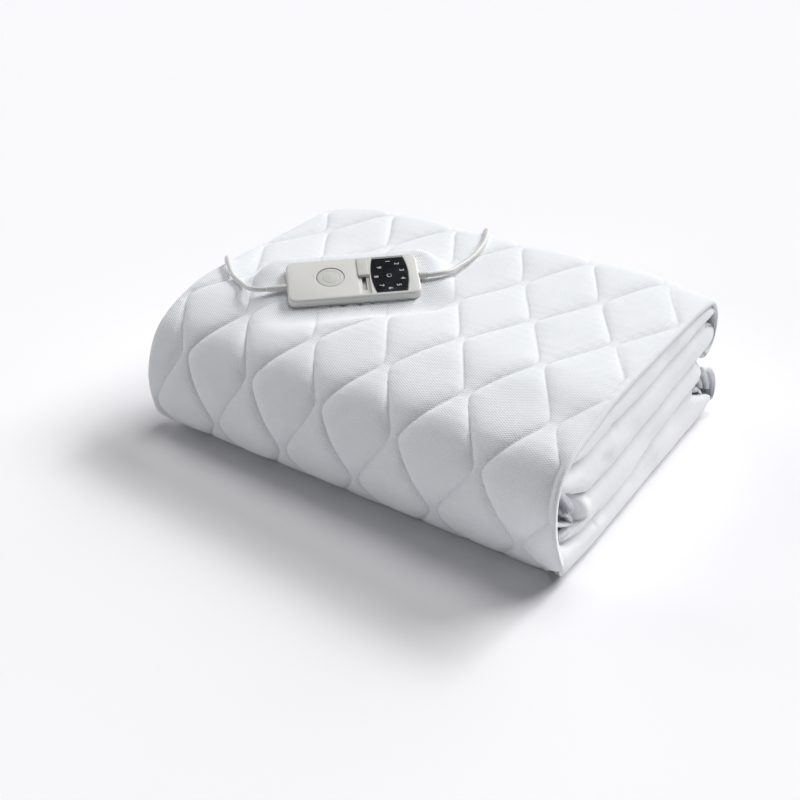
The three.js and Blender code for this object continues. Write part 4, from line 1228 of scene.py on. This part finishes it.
class BLANKET_OT_stage(bpy.types.Operator):
    """Sets the camera, the pale floor and the soft lights"""

    bl_idname = "blanket.stage"
    bl_label = "Stage"

    def execute(self, context):
        az, el = math.radians(VIEW["azimuth"]), math.radians(VIEW["elevation"])
        back = Vector((math.sin(az) * math.cos(el), -math.cos(az) * math.cos(el), math.sin(el)))
        lens = bpy.data.cameras.new("view")
        lens.lens = VIEW["focal"]
        lens.sensor_width = VIEW["sensor"]
        lens.clip_start = 0.05
        camera = add("view", lens)
        camera.location = (LOOK_AT + back * VIEW["distance"]) * MM
        camera.rotation_euler = back.to_track_quat("Z", "Y").to_euler()
        context.scene.camera = camera
        self.floor(context)
        self.lights(context)
        context.scene.view_settings.view_transform = "Standard"
        return {"FINISHED"}

    def floor(self, context):
        """A round floor, a disc whose rings widen outwards, with a faint grain in its finish."""
        sides = 64
        a = 2 * math.pi * np.arange(sides) / sides
        r = np.array(FLOOR_RINGS)[:, None]
        points = np.stack([r * np.cos(a), r * np.sin(a), np.zeros((len(r), sides))], -1)
        quads = ring_quads(len(r), sides)[:, ::-1]
        mesh = bpy.data.meshes.new("floor")
        mesh.from_pydata((points.reshape(-1, 3) * MM).tolist(), [], quads.tolist())
        finish = Finish("floor paper", 1.0, **{"Specular IOR Level": 0.0})
        colours = context.scene.blanket_colours
        grain = finish.noise(120, 2.0)
        paler = tuple(min(1, c * 1.006) for c in colours.floor)
        finish.set("Base Color", finish.blend(grain, colours.floor, paler))
        mesh.materials.append(finish.material)
        made = add("floor", mesh)

    def lights(self, context):
        """Wide soft lights from the table's directions, and an even pale sky."""
        for row in LIGHTS:
            light = bpy.data.lights.new(row["name"], "SUN")
            light.energy = row["strength"]
            light.angle = math.radians(row["angle"])
            made = add(row["name"], light)
            made.rotation_euler = Vector(row["from"]).to_track_quat("Z", "Y").to_euler()
        world = bpy.data.worlds.new("sky")
        world.use_nodes = True
        background = world.node_tree.nodes["Background"]
        background.inputs["Color"].default_value = (1, 1, 1, 1)
        background.inputs["Strength"].default_value = SKY
        context.scene.world = world


class BLANKET_OT_leads(bpy.types.Operator):
    """Lays the two leads: the coiled mains lead with its plug, and the lead to the blanket"""

    bl_idname = "blanket.leads"
    bl_label = "Leads"

    def execute(self, context):
        colours = context.scene.blanket_colours
        sheath = lead_finish()
        case = plastic_finish("flex plug", colours.lead, 0.4)
        self.reliefs(case)
        self.plug(case)
        self.pins(metal_finish())
        self.strap(case)
        start = [relief_point(-1, RELIEF_LEFT, d) for d in (CORD["gap"], CORD["straight"])]
        lane = COIL["outer"] - CORD["radius"]
        ahead = math.sqrt(COIL["meet"] ** 2 - lane**2)
        meet = (COIL["x"] + lane, COIL["y"] - ahead, COIL["low"] + CORD["radius"])
        out = centripetal([*start, *MAINS_ROUTE, meet], 8)
        end = (PLUG["x"], PLUG["y"] - PLUG["length"] / 2 - CORD["gap"], PLUG["height"] / 2)
        coil = coil_turns()
        tail = centripetal([coil[-1], *TAIL_ROUTE, end], 8)
        path = np.vstack([out, coil, tail[1:]])
        mains = cord_curve("mains_lead", path, sheath)
        tuple(path[0] * MM)
        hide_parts("mains_cord", "mains_coil", "mains_tail")
        start = [relief_point(1, RELIEF_RIGHT, d) for d in (CORD["gap"], CORD["straight"])]
        slope = Matrix.Rotation(math.radians(CONNECTOR_AT["slope"]), 3, "X")
        at = Vector((CONNECTOR_AT["x"], CONNECTOR_AT["y"], CONNECTOR_AT["z"]))
        entry = [
            slope @ Vector((0, CONNECTOR["width"] / 2 + d, CONNECTOR["height"] / 2)) + at
            for d in (CONNECTOR_AT["entry"], CORD["gap"])
        ]
        path = centripetal([*start, *BLANKET_ROUTE, *entry], 8)
        lead = cord_curve("blanket_lead", path, sheath)
        tuple(path[0] * MM)
        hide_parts("blanket_cord")
        return {"FINISHED"}

    def reliefs(self, finish):
        """Tapered sleeves with shallow rings, turned about the lead where it leaves the control."""
        for side, size, node in ((-1, RELIEF_LEFT, "relief_left"), (1, RELIEF_RIGHT, "relief_right")):
            at = np.linspace(0, 1, 40)
            wave = np.cos(2 * math.pi * at * size["length"] / RELIEF_RINGS["pitch"])
            ring = RELIEF_RINGS["deep"] * (wave < RELIEF_RINGS["below"])
            radius = mix(size["wide"], size["narrow"], at) - ring
            rows = [(0, 0), *zip(radius, at * size["length"]), (0, size["length"])]
            points, quads = turned(rows, 32)
            x = side * (CONTROL["length"] / 2 + SEAM_GAP) + side * points[:, 2]
            placed = np.stack([x, size["y"] + points[:, 1], size["z"] + points[:, 0]], -1)
            points, quads = facing_out(on_control(placed), quads)
            made = piece(node + "_sleeve", points, quads, "relief", finish)
            sharpen(made, 35)
            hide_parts(node)

    def plug(self, finish):
        """The plug's body: a loft that widens from the lead, with grip ribs and a rounded face."""
        w, h = PLUG["width"] / 2, PLUG["height"] / 2
        face, share = PLUG_FACE["from"], PLUG_FACE["share"]
        (full, fades), (starts, gone) = PLUG_RIBS["full"], PLUG_RIBS["gone"]
        rows = []
        for at in np.linspace(0, 1, 48):
            y = PLUG["y"] + (at - 0.5) * PLUG["length"]
            opened = float(smooth(0.0, PLUG_NECK["to"], at))
            ribbed = float(smooth(starts, full, at) * (1 - smooth(fades, gone, at)))
            rib = PLUG_RIBS["high"] * math.cos(2 * math.pi * at * PLUG_RIBS["number"]) * ribbed
            past_face = (max(at, face) - face) / (1 - face)
            end = mix(share, 1, math.sqrt(max(0, 1 - past_face**2)))
            width = mix(PLUG_NECK["half"], w, opened) * end + min(0, rib)
            rows.append((y, width, mix(PLUG_NECK["half"], h, opened) * end, h, mix(2, 4, opened)))
        rows = [(rows[0][0], POINT, POINT, h, 2), *rows, (rows[-1][0], POINT, POINT, h, 2)]
        points, quads = loft(rows)
        made = piece("plug", points + (PLUG["x"], 0, 0), quads, "case", finish)
        sharpen(made, 50)
        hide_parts("plug_body")

    def pins(self, finish):
        """Two round pins with domed tips, each a little thinner where its sleeve would be."""
        radius, sleeve = PIN["radius"], PIN["radius"] - PIN["thinner"]
        base = PLUG["y"] + PLUG["length"] / 2 + CORD["gap"]
        a = np.linspace(0, math.pi / 2, 9)
        tip = zip(radius * np.cos(a), PIN["length"] - radius + radius * np.sin(a))
        rows = [(0, 0), (sleeve, 0), (sleeve, PIN["sleeve"]), (radius, PIN["sleeve"] + PIN["step"]), *tip]
        points, quads = turned(rows, 24)
        for number, side in ((1, -1), (2, 1)):
            x = PLUG["x"] + side * PIN["apart"] / 2 + points[:, 0]
            placed = np.stack([x, base + points[:, 2], PLUG["height"] / 2 + points[:, 1]], -1)
            made = piece(f"pin_{number}", *facing_out(placed, quads), "pin", finish)
            sharpen(made, 50)
            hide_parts(f"plug_pin_{number}")

    def strap(self, finish):
        """A flat strap round the coil's section: a superellipse loop, thickened outwards."""
        sides, turn = STRAP["sides"], math.radians(STRAP["turn"])
        a = 2 * math.pi * np.arange(sides) / sides
        half_r = (COIL["outer"] - COIL["inner"]) / 2 + STRAP["clear"]
        half_z = (COIL["high"] - COIL["low"]) / 2 + STRAP["clear"]
        loops = []
        for grow, at in ((0, -0.5), (STRAP["sheet"], -0.5), (STRAP["sheet"], 0.5), (0, 0.5)):
            r = (COIL["inner"] + COIL["outer"]) / 2 + (half_r + grow) * squared(np.cos(a), STRAP["square_r"])
            z = (COIL["low"] + COIL["high"]) / 2 + (half_z + grow) * squared(np.sin(a), STRAP["square_z"])
            across = at * STRAP["width"]
            x = COIL["x"] + r * math.cos(turn) - across * math.sin(turn)
            y = COIL["y"] + r * math.sin(turn) + across * math.cos(turn)
            loops.append(np.stack([x, y, z], -1))
        rings = np.array([*loops, loops[0]])
        quads = ring_quads(len(rings), sides) % (len(loops) * sides)
        made = piece("cord_tie", *facing_out(np.concatenate(loops), quads), "tie", finish)
        sharpen(made, 40)
        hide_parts("coil_tie")


class BLANKET_OT_quilt(bpy.types.Operator):
    """Makes the quilted sheet with all its folded layers"""

    bl_idname = "blanket.quilt"
    bl_label = "Quilted sheet"

    def execute(self, context):
        outer, inner, x, s, near = quilted_sheet()
        inside = join(pack(True), pack(False), *lips())
        points, quads = join(shell(outer, inner), inside)
        face = np.stack([x.ravel(), s.ravel()], -1)
        uv = np.concatenate([face, face, inside[0][:, :2]])
        seam = np.full(len(points), NO_SEAM)
        seam[: near.size] = near.ravel()
        fields = {"seam_distance": seam}
        made = piece("quilt", points, quads, "quilted_cloth", quilted_finish(), uv=uv, fields=fields)
        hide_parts("quilted_panel")
        return {"FINISHED"}


class BLANKET_OT_skirts(bpy.types.Operator):
    """Makes the smooth skirt at both ends"""

    bl_idname = "blanket.skirts"
    bl_label = "Skirts"

    def execute(self, context):
        finish = skirt_finish()
        rows = (
            ("skirt_right", 1, TUCKS_RIGHT, CREASES_RIGHT, SKIRT_SEAM["right"], 1.1),
            ("skirt_left", -1, TUCKS_LEFT, CREASES_LEFT, SKIRT_SEAM["left"], 4.3),
        )
        for node, side, tucks, creases, seam, seed in rows:
            outer, inner, along, across = skirt(side, tucks, creases, seam, seed)
            face = np.stack([along.ravel(), across.ravel()], -1)
            uv = np.concatenate([face, face])
            made = piece(node + "_cloth", *shell(outer, inner), "skirt_cloth", finish, uv=uv)
            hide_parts(node)
        return {"FINISHED"}


class BLANKET_OT_control(bpy.types.Operator):
    """Makes the control: its shells, push button, slide switch and window with numbers"""

    bl_idname = "blanket.control"
    bl_label = "Control"

    def execute(self, context):
        colours = context.scene.blanket_colours
        case = plastic_finish("case plastic", colours.case, 0.5, 0.03)
        keys = plastic_finish("key plastic", colours.keys, 0.42, 0.02)
        softened("control_top", "upper_shell", case, 0.35)
        softened("control_base", "lower_shell", case, 0.35)
        softened("blanket_connector", "inlet_connector", case, 0.3)
        self.window(colours)
        self.button(keys)
        self.slider(keys)
        return {"FINISHED"}

    def window(self, colours):
        """The glossy window, a copy of the CAD's that carries the distance to its back edge, and its dial."""
        made = softened("control_window", "dial_window", window_finish(), 0.5)
        local = (coordinates(made.data) / MM - CONTROL_FRAME[:3, 3]) @ CONTROL_FRAME[:3, :3]
        to_edge = (WINDOW["back"] - local[:, 1]).astype(np.float32)
        made.data.attributes.new("to_back_edge", "FLOAT", "POINT").data.foreach_set("value", to_edge)
        ink = Finish("dial ink", 0.5)
        cloud = ink.noise(3, 2.0)
        dimmer = tuple(c * 0.9 for c in colours.numbers)
        ink.set("Base Color", ink.blend(cloud, colours.numbers, dimmer))
        points, triangles = join(*(self.glyph(*row) for row in DIAL), *self.dial_ring())
        made = piece("dial_numbers", on_control(points), triangles, "window", ink.material)
        sharpen(made, 30)

    def dial_ring(self):
        """The small ring in the dial's middle, its faces as two sets of triangles."""
        r, thick = DIAL_RING["radius"], DIAL_RING["thick"]
        out = r + DIAL_RING["line"]
        points, quads = turned([(r, 0), (out, 0), (out, thick), (r, thick), (r, 0)], 32)
        points = points + (DIAL_RING["x"], DIAL_RING["y"], WINDOW["high"] + DIAL_RING["lift"])
        return (points, quads[:, [0, 1, 2]]), (points, quads[:, [0, 2, 3]])

    def glyph(self, number, x, y):
        """One number of the dial as triangles, turned a quarter clockwise as on the control."""
        curve = bpy.data.curves.new("glyph", "FONT")
        curve.body = number
        curve.align_x = "CENTER"
        curve.align_y = "CENTER"
        curve.size = DIAL_TYPE["size"]
        curve.extrude = DIAL_TYPE["half_thick"]
        curve.resolution_u = 4
        holder = add("glyph", curve)
        mesh = bpy.data.meshes.new_from_object(holder.evaluated_get(bpy.context.evaluated_depsgraph_get()))
        mesh.calc_loop_triangles()
        flat = coordinates(mesh)
        triangles = np.empty(len(mesh.loop_triangles) * 3, np.int32)
        mesh.loop_triangles.foreach_get("vertices", triangles)
        bpy.data.objects.remove(holder)
        bpy.data.curves.remove(curve)
        bpy.data.meshes.remove(mesh)
        z = WINDOW["high"] + DIAL_TYPE["lift"] + flat[:, 2]
        return np.stack([x + flat[:, 1], y - flat[:, 0], z], -1), triangles.reshape(-1, 3)

    def button(self, finish):
        """A domed push button: a low dome, a narrow groove round it and a soft rounded rim."""
        groove_at, groove_half = 0.62, 0.03
        rim_at = 0.93
        peak, falls, deep, drop = 0.55, 0.5, 0.3, 0.9
        r = np.linspace(0, 1, 36)
        groove = np.exp(-(((r - groove_at) / groove_half) ** 2))
        rim = np.clip((r - rim_at) / (1 - rim_at), 0, 1) ** 2
        top = BUTTON["high"] - peak - falls * r**2 + peak * (1 - r) ** 2 - deep * groove - drop * rim
        rows = list(zip(r * BUTTON["radius"], top)) + [(BUTTON["radius"], BUTTON["low"]), (0, BUTTON["low"])]
        points, quads = turned(rows, 64)
        placed = on_control(points + (BUTTON["x"], BUTTON["y"], 0))
        made = piece("push_button", *facing_out(placed, quads), "button", finish, body="button")
        sharpen(made, 40)
        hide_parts("control_button")

    def slider(self, finish):
        """The slide switch's knob as a stack of rounded rectangles, with a raised mark and its stem."""
        low, top = SLIDER["low"], SLIDER["high"]
        rounding = ((-0.8, 0), (-0.35, 0.12), (-0.1, 0.4), (0, 0.9))
        knob = [(low, 0), *((top + z, inset) for z, inset in rounding)]
        mark = [(top - 0.2, 0), (top - 0.02, 0), (top, 0.1)]
        stem = [(STEM["low"], 0), (low + 0.5, 0)]
        points, quads = join(
            rounded_block(SLIDER["width"] / 2, SLIDER["length"] / 2, knob, 14),
            rounded_block(0.35, 1.6, mark, 4),
            rounded_block(STEM["width"] / 2, STEM["length"] / 2, stem, 12),
        )
        placed = on_control(points + (SLIDER["x"], SLIDER["y"], 0))
        made = piece("slide_knob", *facing_out(placed, quads), "button", finish, body="slider")
        sharpen(made, 50)
        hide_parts("control_slider")


class BLANKET_PT_panel(bpy.types.Panel):
    bl_label = "Folded underblanket"
    bl_space_type = "VIEW_3D"
    bl_region_type = "UI"
    bl_category = "Blanket"

    def draw(self, context):
        for operator in OPERATORS:
            self.layout.operator(operator.bl_idname)
        for group in (context.scene.blanket_sizes, context.scene.blanket_colours):
            for key in group.__annotations__:
                self.layout.prop(group, key)


OPERATORS = (BLANKET_OT_stage, BLANKET_OT_leads, BLANKET_OT_quilt, BLANKET_OT_skirts, BLANKET_OT_control)
CLASSES = (BlanketSizes, BlanketColours, *OPERATORS, BLANKET_PT_panel)


def register():
    for item in CLASSES:
        bpy.utils.register_class(item)
    bpy.types.Scene.blanket_sizes = bpy.props.PointerProperty(type=BlanketSizes)
    bpy.types.Scene.blanket_colours = bpy.props.PointerProperty(type=BlanketColours)


def unregister():
    del bpy.types.Scene.blanket_colours
    del bpy.types.Scene.blanket_sizes
    for item in reversed(CLASSES):
        bpy.utils.unregister_class(item)


def main():
    register()
    bpy.ops.blanket.stage()
    bpy.ops.blanket.leads()
    bpy.ops.blanket.quilt()
    bpy.ops.blanket.skirts()
    bpy.ops.blanket.control()


if __name__ == "__main__":
    main()
